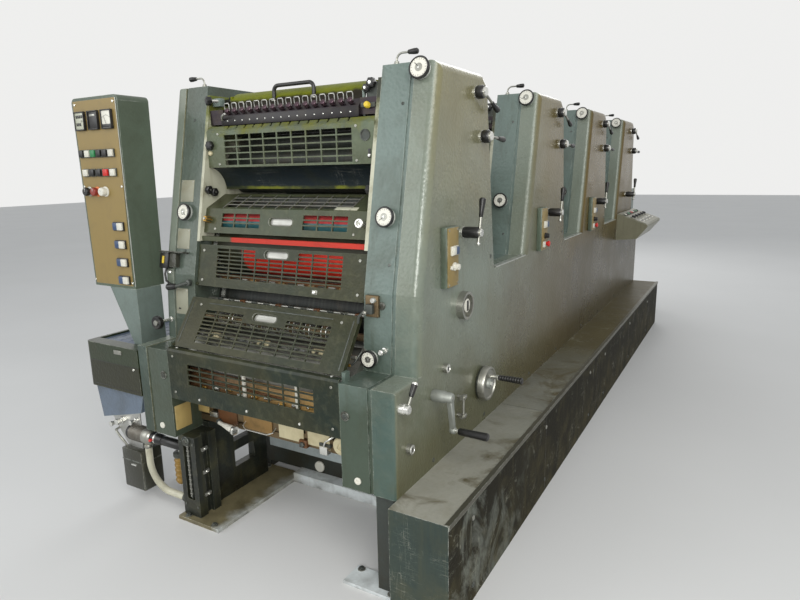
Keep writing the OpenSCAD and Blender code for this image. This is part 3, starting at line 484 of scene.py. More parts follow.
def lid_paint(colours):
    """Yellow-green lid with dark ink rubbed over it."""
    skin = Finish("Lid enamel", rgba(colours.lid), 0.4).enamel(120.0, 0.2, 0.25)
    skin.dirt(srgb(58, 64, 12), 0.6, 12.0, 0.5, 0.01, 4.0, 0.5)
    skin.dirt(srgb(140, 140, 40), 0.2, 26.0, 0.1, 0.01, 8.0, 0.7)
    low = zone(skin, "Z", LID_AXIS[1] + 0.052, LID_AXIS[1] + 0.040, 0.006, 20.0)
    return skin.cover(low, srgb(34, 30, 20)).gloss(0.0, 0.12).done()


def inked_side_plate():
    """Light inner plate, with yellow-green ink near the duct and oil below."""
    skin = Finish("Light side plate", srgb(176, 176, 156), 0.45)
    tree = skin.tree
    skin.raise_by(tree.noise(tree.place(), 500.0, 2.0), 0.06, 0.0003)
    high = zone(skin, "Z", 1.50, 1.62, 0.09, 9.0)
    skin.cover(high, srgb(96, 104, 32), 0.5)
    skin.cover(tree.math("MULTIPLY", high, zone(skin, "X", 0.0, 0.1)), srgb(38, 42, 26), 0.5)
    skin.dirt(srgb(92, 84, 48), 0.7, 9.0, 0.7, 0.01, 2.0, 0.5)
    return skin.worn(srgb(206, 200, 180), 0.002, 0.6).done()


def red_paint(name, colour, end_colour, rough=0.4, top=None):
    """Red enamel with a little oil, in another colour over its drive-side end and above top."""
    skin = Finish(name, colour, rough).enamel(130.0, 0.1, 0.15)
    skin.dirt(srgb(96, 24, 16), 0.4, 14.0, 0.4, 0.01, 6.0, 0.5)
    if top is not None:
        skin.cover(zone(skin, "Z", top - 0.001, top + 0.001, 0.0), end_colour, 0.5)
    return skin.cover(zone(skin, "X", -0.232, -0.244, 0.006, 30.0), end_colour, 0.5).done()


def step_paint(colours):
    """The step: dark sides and a brown tread, both paler near the delivery."""
    skin = Finish("Step enamel", rgba(colours.step), 0.42, 0.05)
    tree = skin.tree
    tread = facing(skin, "Z", 0.6, 0.9)
    side = facing(skin, "X")
    skin.cover(side, srgb(28, 26, 16))
    smears = tree.spread(tree.noise(tree.place((1.0, 1.5, 1.0)), 3.4, 7.0, 0.7, 0.6), 0.50, 0.62, 0.0, 0.85)
    near = tree.math("MULTIPLY", side, zone(skin, "Y", 0.45, -0.45, 0.15, 3.0))
    skin.cover(tree.math("MULTIPLY", smears, near), srgb(116, 120, 112))
    skin.cover(tree.math("MULTIPLY", zone(skin, "Y", 0.3, 1.8, 0.2, 2.0), tread), srgb(80, 72, 42))
    skin.cover(tree.math("MULTIPLY", zone(skin, "Y", 1.6, -0.3, 0.3, 2.0), tread), srgb(142, 141, 130))
    skin.enamel(80.0, 0.16, 0.3)
    skin.rough = tree.spread(side, 0.0, 1.0, 0.42, 0.75)
    dark = tree.spread(tree.noise(tree.place(), 4.2, 7.0, 0.65, 0.6), 0.52, 0.66)
    skin.cover(tree.math("MULTIPLY", dark, tread), srgb(74, 66, 42), 0.35)
    skin.scuffed(srgb(166, 166, 150), 0.7, 1.2)
    skin.dirt(srgb(100, 92, 60), 0.3, 8.0, 0.7, 0.25, 7.0, 0.7)
    return skin.gloss(0.0, 0.15).worn(srgb(180, 184, 176), 0.004, 0.8).done()


def steel(name, colour, rough=0.35, brushed=120.0, dirt=0.4, low_tone=None):
    """Machined steel with fine lines and a film of oil, in another colour low over the floor, with bright
    edges there that are partly a painted highlight.
    """
    skin = Finish(name, colour, rough, 0.85)
    tree = skin.tree
    lines = tree.noise(tree.place((1.0, brushed, brushed)), 6.0, 4.0, 0.6)
    skin.rough = tree.spread(lines, 0.3, 0.7, rough - 0.1, rough + 0.12)
    skin.raise_by(lines, 0.12, 0.0005)
    skin.dirt(srgb(84, 76, 52), dirt, 16.0, 0.3, 0.01, 5.0, 0.55)
    if low_tone is not None:
        skin.cover(zone(skin, "Z", 0.50, 0.45), low_tone)
        # Bright worn edges over the low part, partly wear and partly a painted highlight.
        skin.worn(srgb(216, 218, 210), 0.003, 0.9)
    return skin.done()


def cast_steel(name, colour, rough=0.5, dirt=0.4):
    """Cast or blasted metal with a grainy skin."""
    skin = Finish(name, colour, rough, 0.6)
    grain = skin.tree.noise(skin.tree.place(), 420.0, 3.0)
    skin.raise_by(grain, 0.3, 0.0006)
    skin.dirt(srgb(70, 64, 44), dirt, 18.0, 0.3, 0.01, 2.0, 0.6)
    return skin.worn(BARE, 0.0015, 0.8).done()


def plastic(name, colour, rough=0.4, dirt=0.25):
    """Moulded plastic with a fine grain, greasy where hands touch it."""
    skin = Finish(name, colour, rough)
    grain = skin.tree.noise(skin.tree.place(), 700.0, 2.0)
    skin.raise_by(grain, 0.12, 0.0003)
    skin.dirt(srgb(92, 84, 60), dirt, 22.0, 0.4, 0.01, 1.0, 0.55)
    return skin.done()


def rubber(name, colour, rough=0.55, dirt=0.3, bands=()):
    """Rubber roller or blanket with a dull skin and ink film, in other colours between two heights."""
    skin = Finish(name, colour, rough)
    tree = skin.tree
    rings = tree.noise(tree.place((90.0, 1.0, 1.0)), 1.0, 3.0)
    for low, high, tint in bands:
        band = tree.math("MULTIPLY", zone(skin, "Z", low - 0.001, low + 0.001, 0.0),
                         zone(skin, "Z", high + 0.001, high - 0.001, 0.0))
        skin.cover(band, tint)
    skin.cover(tree.spread(rings, 0.45, 0.7, 0.0, 0.25), srgb(90, 92, 84))
    skin.raise_by(tree.noise(tree.place(), 300.0, 2.0), 0.15, 0.0005)
    return skin.dirt(srgb(96, 70, 40), dirt, 10.0, 0.2, 0.01, 3.0, 0.4).done()


def panel_plate(name, colour):
    """Smooth plate, yellowed and handled."""
    skin = Finish(name, colour, 0.45)
    skin.raise_by(skin.tree.noise(skin.tree.place(), 500.0, 2.0), 0.06, 0.0003)
    skin.dirt(srgb(112, 96, 62), 0.5, 9.0, 0.5, 0.01, 2.0, 0.5)
    return skin.worn(srgb(206, 200, 180), 0.002, 0.6).done()


def floor_metal():
    """Pale floor beams with oil and boot dirt, oilier under the lift column."""
    skin = Finish("Floor beam paint", srgb(206, 212, 212), 0.55).enamel(60.0, 0.1, 0.15)
    skin.cover(zone(skin, "X", -0.18, -0.26, 0.04, 8.0), srgb(120, 112, 84), 0.45)
    skin.dirt(srgb(60, 54, 36), 0.75, 7.0, 0.3, 0.03, 4.0, 0.4)
    return skin.worn(srgb(206, 208, 200), 0.003, 0.7).done()


def tray_sheet():
    """Warm stained sheet, dark brown at the drive side and cream towards the operator."""
    skin = Finish("Delivery tray", srgb(96, 66, 40), 0.5)
    skin.cover(zone(skin, "X", -0.25, 0.30, 0.05, 14.0), srgb(196, 160, 98), 0.45)
    skin.dirt(srgb(70, 46, 26), 0.7, 16.0, 0.3, 0.01, 2.0, 0.4)
    return skin.scuffed(srgb(226, 206, 160), 0.7, 1.4, 0.35).done()


def wood():
    """Pale worn planks with a long grain."""
    skin = Finish("Pile board wood", srgb(150, 124, 86), 0.6)
    tree = skin.tree
    grain = tree.noise(tree.place((60.0, 2.0, 60.0)), 1.0, 5.0, 0.6, 0.6)
    skin.cover(tree.spread(grain, 0.4, 0.7, 0.0, 0.7), srgb(96, 72, 46))
    skin.raise_by(grain, 0.3, 0.0008)
    return skin.dirt(srgb(84, 70, 50), 0.6, 6.0, 0.1, 0.01, 4.0, 0.7).done()


def build_finishes(colours):
    """Every material by its plain name."""
    return {
        "cover": cover_paint(colours),
        "frame": frame_paint(colours),
        # These guards share one enamel: the upper guard's colour is painted lighter, and the lower guard's
        # and the hood's darker, as painted light and shade.
        "upper_guard": guard_paint("Upper guard enamel with painted light", srgb(94, 106, 86), 0.5, 1.575, 1.0),
        "middle_guard": guard_paint("Middle guard enamel", srgb(62, 70, 52), 0.5, None, 2.0),
        "plate_guard": guard_paint("Plate guard enamel", srgb(36, 44, 28), 0.6, None, 3.0),
        "lower_guard": guard_paint("Lower guard enamel with painted shade", srgb(34, 40, 24), 0.7, None, 4.0),
        "hood": guard_paint("Hood enamel with painted shade", srgb(24, 36, 30), 0.5, None, 5.0),
        "guard": guard_paint("Inner guard enamel", rgba(colours.guard), 0.5, None, 6.0),
        "splash": splash_paint(),
        "lid": lid_paint(colours),
        "red": red_paint("Red bar enamel", rgba(colours.red), srgb(64, 68, 46)),
        "red_plate": red_paint("Red plate", srgb(222, 52, 34), srgb(46, 46, 28), 0.35, 1.114),
        "step": step_paint(colours),
        "base": bed_paint(),
        "floor_metal": floor_metal(),
        "side_plate": inked_side_plate(),
        "trim": steel("Bright trim", srgb(190, 192, 186), 0.4, 60.0, 0.5, srgb(96, 94, 82)),
        "blanket": rubber("Blanket rubber", srgb(40, 96, 104), 0.5, 0.3, ((0.7, 0.984, srgb(24, 30, 26)),)),
        "drum": steel("Drum steel", srgb(150, 150, 142), 0.35, 90.0, 0.5),
        # On the roller the teal band is its rubber, and the red band above it is a painted reflection of
        # red.
        "roller": rubber("Roller rubber and painted reflection", srgb(50, 54, 48), 0.5, 0.3,
                         ((1.190, 1.2215, srgb(34, 92, 98)), (1.2225, 1.262, srgb(178, 48, 50)))),
        "duct": steel("Duct metal", srgb(58, 52, 56), 0.4, 60.0, 0.5),
        "duct_bar": plastic("Duct bar", srgb(16, 10, 13), 0.4, 0.15),
        "key": steel("Key steel", srgb(150, 140, 120), 0.4, 40.0, 0.5),
        "key_head": steel("Key head metal", srgb(88, 70, 78), 0.36, 40.0, 0.4),
        "wing": steel("Wing steel", srgb(176, 176, 170), 0.34, 40.0, 0.2),
        "cup": steel("Pressed cup steel", srgb(164, 164, 158), 0.40, 30.0, 0.2),
        "silver": steel("Bare aluminium", srgb(188, 188, 184), 0.36, 50.0, 0.35),
        "rust": cast_steel("Rusty metal", srgb(112, 74, 44), 0.6, 0.5),
        "rust_light": cast_steel("Oily plate", srgb(150, 120, 74), 0.55, 0.5),
        "ochre": panel_plate("Ochre plate", srgb(164, 142, 88)),
        "motor": cast_steel("Motor metal", srgb(106, 102, 94), 0.42, 0.5),
        "tray_sheet": tray_sheet(),
        "bare_plate": panel_plate("Bare plate", srgb(140, 140, 122)),
        "red_knob": plastic("Dark red knob", srgb(130, 44, 32), 0.4),
        "tape": rubber("Feed tape", srgb(104, 112, 116), 0.7),
        "plank": wood(),
        "chrome": steel("Chrome", srgb(214, 214, 208), 0.22, 30.0, 0.15),
        "steel": steel("Worn steel", srgb(158, 158, 150), 0.34, 40.0, 0.35),
        "brass": steel("Brass", srgb(168, 132, 66), 0.36, 30.0, 0.4),
        "cast": cast_steel("Cast metal", srgb(150, 154, 148)),
        "dark_cast": cast_steel("Dark casting", srgb(74, 78, 74), 0.5),
        "black": plastic("Black grip", srgb(24, 24, 24), 0.34, 0.12),
        "white": plastic("White dial face", srgb(214, 212, 200), 0.4, 0.15),
        "white_cap": plastic("White cap", srgb(206, 204, 192), 0.4, 0.25),
        "beige": panel_plate("Beige plate", rgba(colours.panel)),
        "housing": housing_paint(),
        "console": plain_enamel("Console enamel", srgb(82, 93, 79)),
        "pale_enamel": plain_enamel("Pale blue-grey enamel", srgb(104, 116, 110)),
        "white_enamel": plain_enamel("Pale beam enamel", srgb(176, 186, 186)),
        "desk": plain_enamel("Desk enamel", srgb(116, 114, 94)),
        "tray": plain_enamel("Blue tray enamel", srgb(72, 86, 108)),
        "column": column_paint(),
        "delivery": steel("Delivery metal", srgb(116, 100, 76), 0.45, 40.0, 0.6),
        "cream": panel_plate("Cream plate", srgb(196, 186, 150)),
        "hose": plastic("Pale hose", srgb(188, 186, 168), 0.45, 0.4),
        "amber": plastic("Amber jar", srgb(132, 102, 36), 0.3, 0.3),
        "pump": plain_enamel("Pump enamel", srgb(54, 54, 46)),
        "board": steel("Board metal", srgb(140, 142, 138), 0.5, 40.0, 0.4),
        "green_button": plastic("Green button", srgb(34, 120, 70), 0.35),
        "red_button": plastic("Red button", srgb(190, 34, 28), 0.35),
        "yellow": plastic("Yellow cap", srgb(206, 178, 50), 0.4),
        "orange": plastic("Orange ring", srgb(206, 110, 40), 0.4),
        "blue": plastic("Blue rocker", srgb(52, 72, 104), 0.35),
        "meter": plastic("Meter face", srgb(176, 178, 160), 0.3, 0.1),
    }


def bed_paint():
    """Dark oily enamel of the closed bed."""
    skin = Finish("Bed enamel", srgb(48, 54, 50), 0.45, 0.1).enamel(80.0, 0.2, 0.3)
    return skin.dirt(srgb(44, 38, 24), 0.8, 5.0, 0.8, 0.4, 3.0, 0.35).worn(srgb(120, 122, 112)).done()


def plain_enamel(name, colour):
    """Hammered enamel in one colour, oily in places and rubbed at its edges."""
    skin = Finish(name, colour, 0.34, 0.05).enamel(90.0, 0.14, 0.4)
    skin.dirt(srgb(60, 58, 42), 0.4, 6.0, 0.7, 0.01, 2.0, 0.5)
    return skin.gloss(0.1).worn(srgb(164, 170, 160), 0.004, 0.8).done()


def housing_paint():
    """Dark oily enamel, greener over the seam, with the blue-grey tank below."""
    skin = Finish("Housing enamel", srgb(34, 35, 15), 0.36, 0.05)
    skin.cover(zone(skin, "Z", HOUSING_SEAM - 0.0005, HOUSING_SEAM + 0.0005, 0.0, 1.0), srgb(40, 49, 30))
    skin.cover(zone(skin, "Z", TANK_TOP + 0.0001, TANK_TOP - 0.0001, 0.0, 1.0), srgb(92, 104, 118))
    skin.enamel(90.0, 0.16, 0.4)
    skin.dirt(srgb(52, 50, 32), 0.5, 6.0, 0.7, 0.01, 2.0, 0.45)
    return skin.gloss(0.2).worn(srgb(150, 156, 140), 0.004, 0.8).done()


def column_paint():
    """Nearly black column, wet with oil, with dusty streaks."""
    skin = Finish("Column enamel", srgb(40, 44, 38), 0.35, 0.2).enamel(80.0, 0.25, 0.35)
    skin.dirt(srgb(96, 92, 56), 0.6, 8.0, 0.9, 0.01, 4.0, 0.5)
    return skin.dirt(srgb(22, 20, 14), 0.8, 4.0, 0.6, 0.3, 6.0, 0.25).worn(srgb(130, 130, 112)).done()


FINISH_OF_NODE = {
    "base_frame": "base", "floor_plates": "floor_metal", "operator_frame": "frame",
    "drive_frame": "frame", "operator_cover": "cover", "drive_cover": "cover", "edge_trims": "trim",
    "cross_ties": "guard", "drive_housing": "housing", "step_platform": "step",
    "side_plates": "side_plate", "plate_cylinders": "red_plate", "blanket_cylinders": "blanket",
    "sheet_drums": "drum", "ink_rollers": "roller", "ink_ducts": "duct", "ink_keys": "key",
    "duct_covers": "lid", "duct_levers": "black", "upper_guard": "upper_guard",
    "splash_sheet": "splash", "middle_guard": "middle_guard", "red_bar": "red",
    "plate_guard": "plate_guard", "lower_guard": "lower_guard", "delivery_hood": "hood",
    "inner_guards": "guard", "rear_guards": "guard", "delivery_bars": "delivery",
    "lift_column": "column", "pump_unit": "pump", "drain_hose": "hose", "console_box": "console",
    "console_panel": "beige", "console_controls": "black", "console_pedestal": "pale_enamel",
    "dials": "cast", "switch_pods": "beige", "operator_fittings": "steel", "feeder_desk": "desk",
    "feeder_frame": "frame", "feeder_boards": "board", "suction_head": "dark_cast",
    "crank": "cast", "handwheel": "cast", "front_lever": "cast",
}


FINISH = {}


class PRESS_OT_paint(Operator):
    """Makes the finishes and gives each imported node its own"""

    bl_idname = "press.paint"
    bl_label = "Paint the nodes"

    def execute(self, context):
        build_groups()
        made = build_finishes(context.scene.press_colours)
        FINISH.update(made)
        for node, piece in frame["nodes"].items():
            material = made[FINISH_OF_NODE.get(node, "black")]
            piece.data.materials.clear()
            piece.data.materials.append(material)
        return {"FINISHED"}


class PRESS_OT_stage(Operator):
    """Adds the floor, the lights, the sky and the camera"""

    bl_idname = "press.stage"
    bl_label = "Set the stage"

    camera_at = (1.5268, -2.0113, 1.4077)
    camera_turn = (77.9025, 1.0685, 29.9539)
    camera_lens = 27.342
    floor_size = 60.0
    floor_dark = (0.60, 0.60, 0.59, 1.0)
    floor_light = (0.66, 0.66, 0.65, 1.0)
    sky_seen = (0.86, 0.86, 0.85, 1.0)
    sky_glow = (0.56, 0.58, 0.60, 1.0)
    # Each lamp's name, place, target, size, power and colour
    lamps = (
        ("Key lamp", (3.6, -3.2, 4.2), (0.2, 0.6, 0.8), 3.0, 130.0, (1.0, 0.985, 0.95)),
        ("Fill lamp", (-3.2, -4.0, 2.8), (0.0, 0.0, 0.9), 3.5, 70.0, (0.96, 0.98, 1.0)),
        ("Front lamp", (1.9, -3.4, 1.9), (0.0, 0.0, 0.9), 1.2, 60.0, (1.0, 0.99, 0.97)),
        ("Back lamp", (-1.5, 7.5, 4.5), (0.0, 3.0, 1.0), 4.0, 110.0, (1.0, 1.0, 1.0)),
    )

    def execute(self, context):
        self.add_floor()
        self.add_sky(context.scene)
        for lamp in self.lamps:
            self.add_lamp(*lamp)
        self.add_camera(context.scene)
        context.scene.view_settings.view_transform = "Standard"
        return {"FINISHED"}

    def add_floor(self):
        shape = bmesh.new()
        bmesh.ops.create_grid(shape, x_segments=1, y_segments=1, size=self.floor_size / 2)
        mesh = bpy.data.meshes.new("studio_floor")
        shape.to_mesh(mesh)
        shape.free()
        floor = bpy.data.objects.new("studio_floor", mesh)
        bpy.context.scene.collection.objects.link(floor)
        look = bpy.data.materials.new("Studio floor")
        look.use_nodes = True
        tree = Tree(look.node_tree)
        shader = look.node_tree.nodes["Principled BSDF"]
        cloud = tree.noise(tree.place(), 0.8, 3.0)
        tree.join(tree.blend(cloud, self.floor_dark, self.floor_light), shader.inputs["Base Color"])
        shader.inputs["Roughness"].default_value = 0.7
        mesh.materials.append(look)

    def add_sky(self, scene):
        scene.world = bpy.data.worlds.new("Studio")
        scene.world.use_nodes = True
        tree = Tree(scene.world.node_tree)
        back = scene.world.node_tree.nodes["Background"]
        path = tree.add("LightPath").outputs
        seen = tree.math("MAXIMUM", path["Is Camera Ray"], path["Is Glossy Ray"])
        seen = tree.math("MAXIMUM", seen, path["Is Transmission Ray"])
        tree.join(tree.blend(seen, self.sky_glow, self.sky_seen), back.inputs["Color"])
        back.inputs["Strength"].default_value = 1.0

    def add_lamp(self, name, place, target, size, power, colour):
        data = bpy.data.lights.new(name, "AREA")
        data.shape = "DISK"
        data.size = size
        data.energy = power
        data.color = colour
        lamp = bpy.data.objects.new(name, data)
        lamp.location = place
        lamp.rotation_euler = (Vector(target) - Vector(place)).to_track_quat("-Z", "Y").to_euler()
        bpy.context.scene.collection.objects.link(lamp)

    def add_camera(self, scene):
        data = bpy.data.cameras.new("Camera")
        data.lens = self.camera_lens
        data.sensor_width = 36.0
        data.clip_end = 100.0
        camera = bpy.data.objects.new("Camera", data)
        camera.location = self.camera_at
        camera.rotation_euler = [math.radians(angle) for angle in self.camera_turn]
        scene.collection.objects.link(camera)
        scene.camera = camera


class Maker:
    """Gathers shapes into one mesh, each shape with its own finish."""

    sharp_angle = math.radians(38)

    def __init__(self, name, body=BODY, within=None):
        self.name = name
        self.body = body
        self.within = within or Matrix.Identity(4)
        self.shape = bmesh.new()
        self.finishes = []

    def keep(self, part, finish, matrix=None):
        """Moves a finished part into place and adds it to the mesh."""
        if finish not in self.finishes:
            self.finishes.append(finish)
        index = self.finishes.index(finish)
        bmesh.ops.recalc_face_normals(part, faces=part.faces)
        for face in part.faces:
            face.material_index = index
            face.smooth = True
        part.transform(self.within @ (matrix or Matrix.Identity(4)))
        mesh = bpy.data.meshes.new("part")
        part.to_mesh(mesh)
        part.free()
        self.shape.from_mesh(mesh)
        bpy.data.meshes.remove(mesh)

    def box(self, low, high, finish, soft=0.001, matrix=None):
        """A block with softened edges."""
        low, high = Vector(low), Vector(high)
        size = high - low
        part = bmesh.new()
        bmesh.ops.create_cube(part, size=1.0)
        bmesh.ops.scale(part, vec=size, verts=part.verts)
        bmesh.ops.translate(part, vec=(low + high) / 2, verts=part.verts)
        soft = min(soft, 0.45 * min(size))
        bmesh.ops.bevel(part, geom=part.edges[:], offset=soft, segments=2, profile=0.5, affect="EDGES")
        self.keep(part, finish, matrix)

    def turned(self, profile, finish, at=(0, 0, 0), along=UP, steps=28, lobes=0, lobe=0.0):
        """A turned shape: profile lists (distance along the axis, radius), with optional lobes."""
        part = bmesh.new()
        rings = []
        for far, radius in profile:
            if radius < 1e-6:
                rings.append([part.verts.new((0, 0, far))])
                continue
            ring = []
            for k in range(steps):
                angle = math.tau * k / steps
                wide = radius * (1 + lobe * math.cos(lobes * angle))
                ring.append(part.verts.new((wide * math.cos(angle), wide * math.sin(angle), far)))
            rings.append(ring)
        for first, second in zip(rings, rings[1:]):
            self.bridge(part, first, second, steps)
        for ring in (rings[0], rings[-1]):
            if len(ring) > 1:
                part.faces.new(ring)
        turn = Vector(along).to_track_quat("Z", "Y").to_matrix().to_4x4()
        self.keep(part, finish, Matrix.Translation(at) @ turn)

    def bridge(self, part, first, second, steps):
        """Faces between two rings, either of which may be a single point."""
        for k in range(steps):
            n = (k + 1) % steps
            if len(first) == 1 and len(second) == 1:
                return
            if len(first) == 1:
                part.faces.new((first[0], second[k], second[n]))
            elif len(second) == 1:
                part.faces.new((first[k], first[n], second[0]))
            else:
                part.faces.new((first[k], first[n], second[n], second[k]))

    def tube(self, points, radius, finish, sides=10, ribs=0.0):
        """A round rod through the points; ribs makes every second ring that much wider."""
        points = [Vector(point) for point in points]
        part = bmesh.new()
        rings = []
        side = (points[1] - points[0]).orthogonal().normalized()
        for k, point in enumerate(points):
            ahead = points[min(k + 1, len(points) - 1)] - points[max(k - 1, 0)]
            ahead.normalize()
            side = (side - ahead * side.dot(ahead)).normalized()
            up = ahead.cross(side)
            wide = radius + (ribs if k % 2 else 0.0)
            rings.append([part.verts.new(point + wide * (math.cos(a) * side + math.sin(a) * up))
                          for a in (math.tau * n / sides for n in range(sides))])
        for first, second in zip(rings, rings[1:]):
            self.bridge(part, first, second, sides)
        part.faces.new(rings[0])
        part.faces.new(rings[-1])
        self.keep(part, finish)

    def prism(self, outline, depth, finish, soft=0.0008, matrix=None):
        """A plate with the outline in its own x and z, from y = 0 to y = depth."""
        part = bmesh.new()
        face = part.faces.new([part.verts.new((x, 0.0, z)) for x, z in outline])
        grown = bmesh.ops.extrude_face_region(part, geom=[face])
        moved = [item for item in grown["geom"] if isinstance(item, bmesh.types.BMVert)]
        bmesh.ops.translate(part, vec=(0, depth, 0), verts=moved)
        if soft:
            rim = [edge for edge in part.edges if edge.calc_length() > 3 * soft]
            bmesh.ops.bevel(part, geom=rim, offset=soft, segments=1, profile=0.5, affect="EDGES")
        self.keep(part, finish, matrix)

    def screw(self, at, along, radius, finish="steel", cap=None):
        """A cap screw: a low turned head with a socket."""
        h = radius * (cap or 0.55)
        self.turned([(0, radius), (h * 0.7, radius), (h, radius * 0.86), (h, radius * 0.45),
                     (h * 0.45, radius * 0.42), (h * 0.45, 0)], finish, at, along, 16)

    def done(self, *replaced, slot=None):
        """Turns the mesh into a piece that rides on its body."""
        mesh = bpy.data.meshes.new(self.name)
        self.shape.to_mesh(mesh)
        self.shape.free()
        for finish in self.finishes:
            mesh.materials.append(FINISH[finish])
        mesh.set_sharp_from_angle(angle=self.sharp_angle)
        piece = bpy.data.objects.new(self.name, mesh)
        bpy.context.scene.collection.objects.link(piece)
        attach(piece, self.body)
        if replaced:
            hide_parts(*replaced)
            slot = slot or SLOT_OF[replaced[0]]
        return piece


def on_sheet(low, high):
    """Frame of a leaning sheet: x across, z up the sheet, -y out of it; low and high are (y, z)."""
    lean = math.atan2(low[0] - high[0], high[1] - low[1])
    return Matrix.Translation((0, low[0], low[1])) @ Matrix.Rotation(lean, 4, "X")


def arc(center, radius, start, end, steps):
    """Points along an upright arc across the press, angles in degrees."""
    points = []
    for k in range(steps + 1):
        a = math.radians(start + (end - start) * k / steps)
        points.append(Vector(center) + Vector((radius * math.cos(a), 0, radius * math.sin(a))))
    return points


def mm(*pairs):
    """A profile in millimetres: pairs of distance along the axis and radius."""
    return [(far * 0.001, radius * 0.001) for far, radius in pairs]


def head(radius, side, top, crown):
    """Profile of a round head in millimetres: straight up to side, then narrower to its flat top."""
    return mm((0, radius), (side, radius), (top, crown), (top, 0))


# Pivots on the operator's cover, as (distance behind the unit's front, height)
THROW_AT = (0.335, 1.183)
UPPER_AT = (0.447, TOWER_H - 0.075)
LOWER_AT = (0.505, TOWER_H - 0.227)
CRANK_AT = (0.088, 0.645)
WHEEL_AT = (0.520, 0.552)
FRONT_LEVER_AT = (-0.137, 0.676)

# How far a hub stands off the cover, and the profile of its pin in there
SEAT = 0.0005
PIN = mm((-15.5, 0), (-15.5, 7.8), (1, 7.8), (1, 0))

# The drain hose's ends, at the pump and in the lift column
HOSE_OUTLET = (-0.649, -0.455, 0.272)
HOSE_END = (-0.430, -0.455, 0.076)


def tapered_grip(maker, start, way, length, thin, thick):
    """A hand grip that widens to its round end."""
    maker.turned([(0, thin * 0.8), (0.002, thin), (length * 0.35, thin * 1.12), (length * 0.8, thick),
                  (length * 0.93, thick * 0.96), (length * 0.99, thick * 0.6), (length, 0)], "black", start,
                 way, 20)


def hub(maker, at, length, radius):
    """A black hub with a bright collar at its foot and a bright cap at its end."""
    maker.turned(PIN, "steel", at, OUT, 16)
    maker.turned([(0, radius * 0.97), (0.004, radius * 0.97), (0.005, radius * 0.86), (0.005, 0)], "chrome",
                 at, OUT)
    maker.turned([(0.005, radius * 0.8), (0.007, radius * 0.96), (length * 0.30, radius),
                  (length - 0.014, radius * 0.98), (length - 0.010, radius * 0.9), (length - 0.010, 0)],
                 "black", at, OUT)
    maker.turned([(length - 0.012, radius * 0.72), (length - 0.003, radius * 0.72), (length, radius * 0.6),
                  (length, 0)], "chrome", at, OUT)


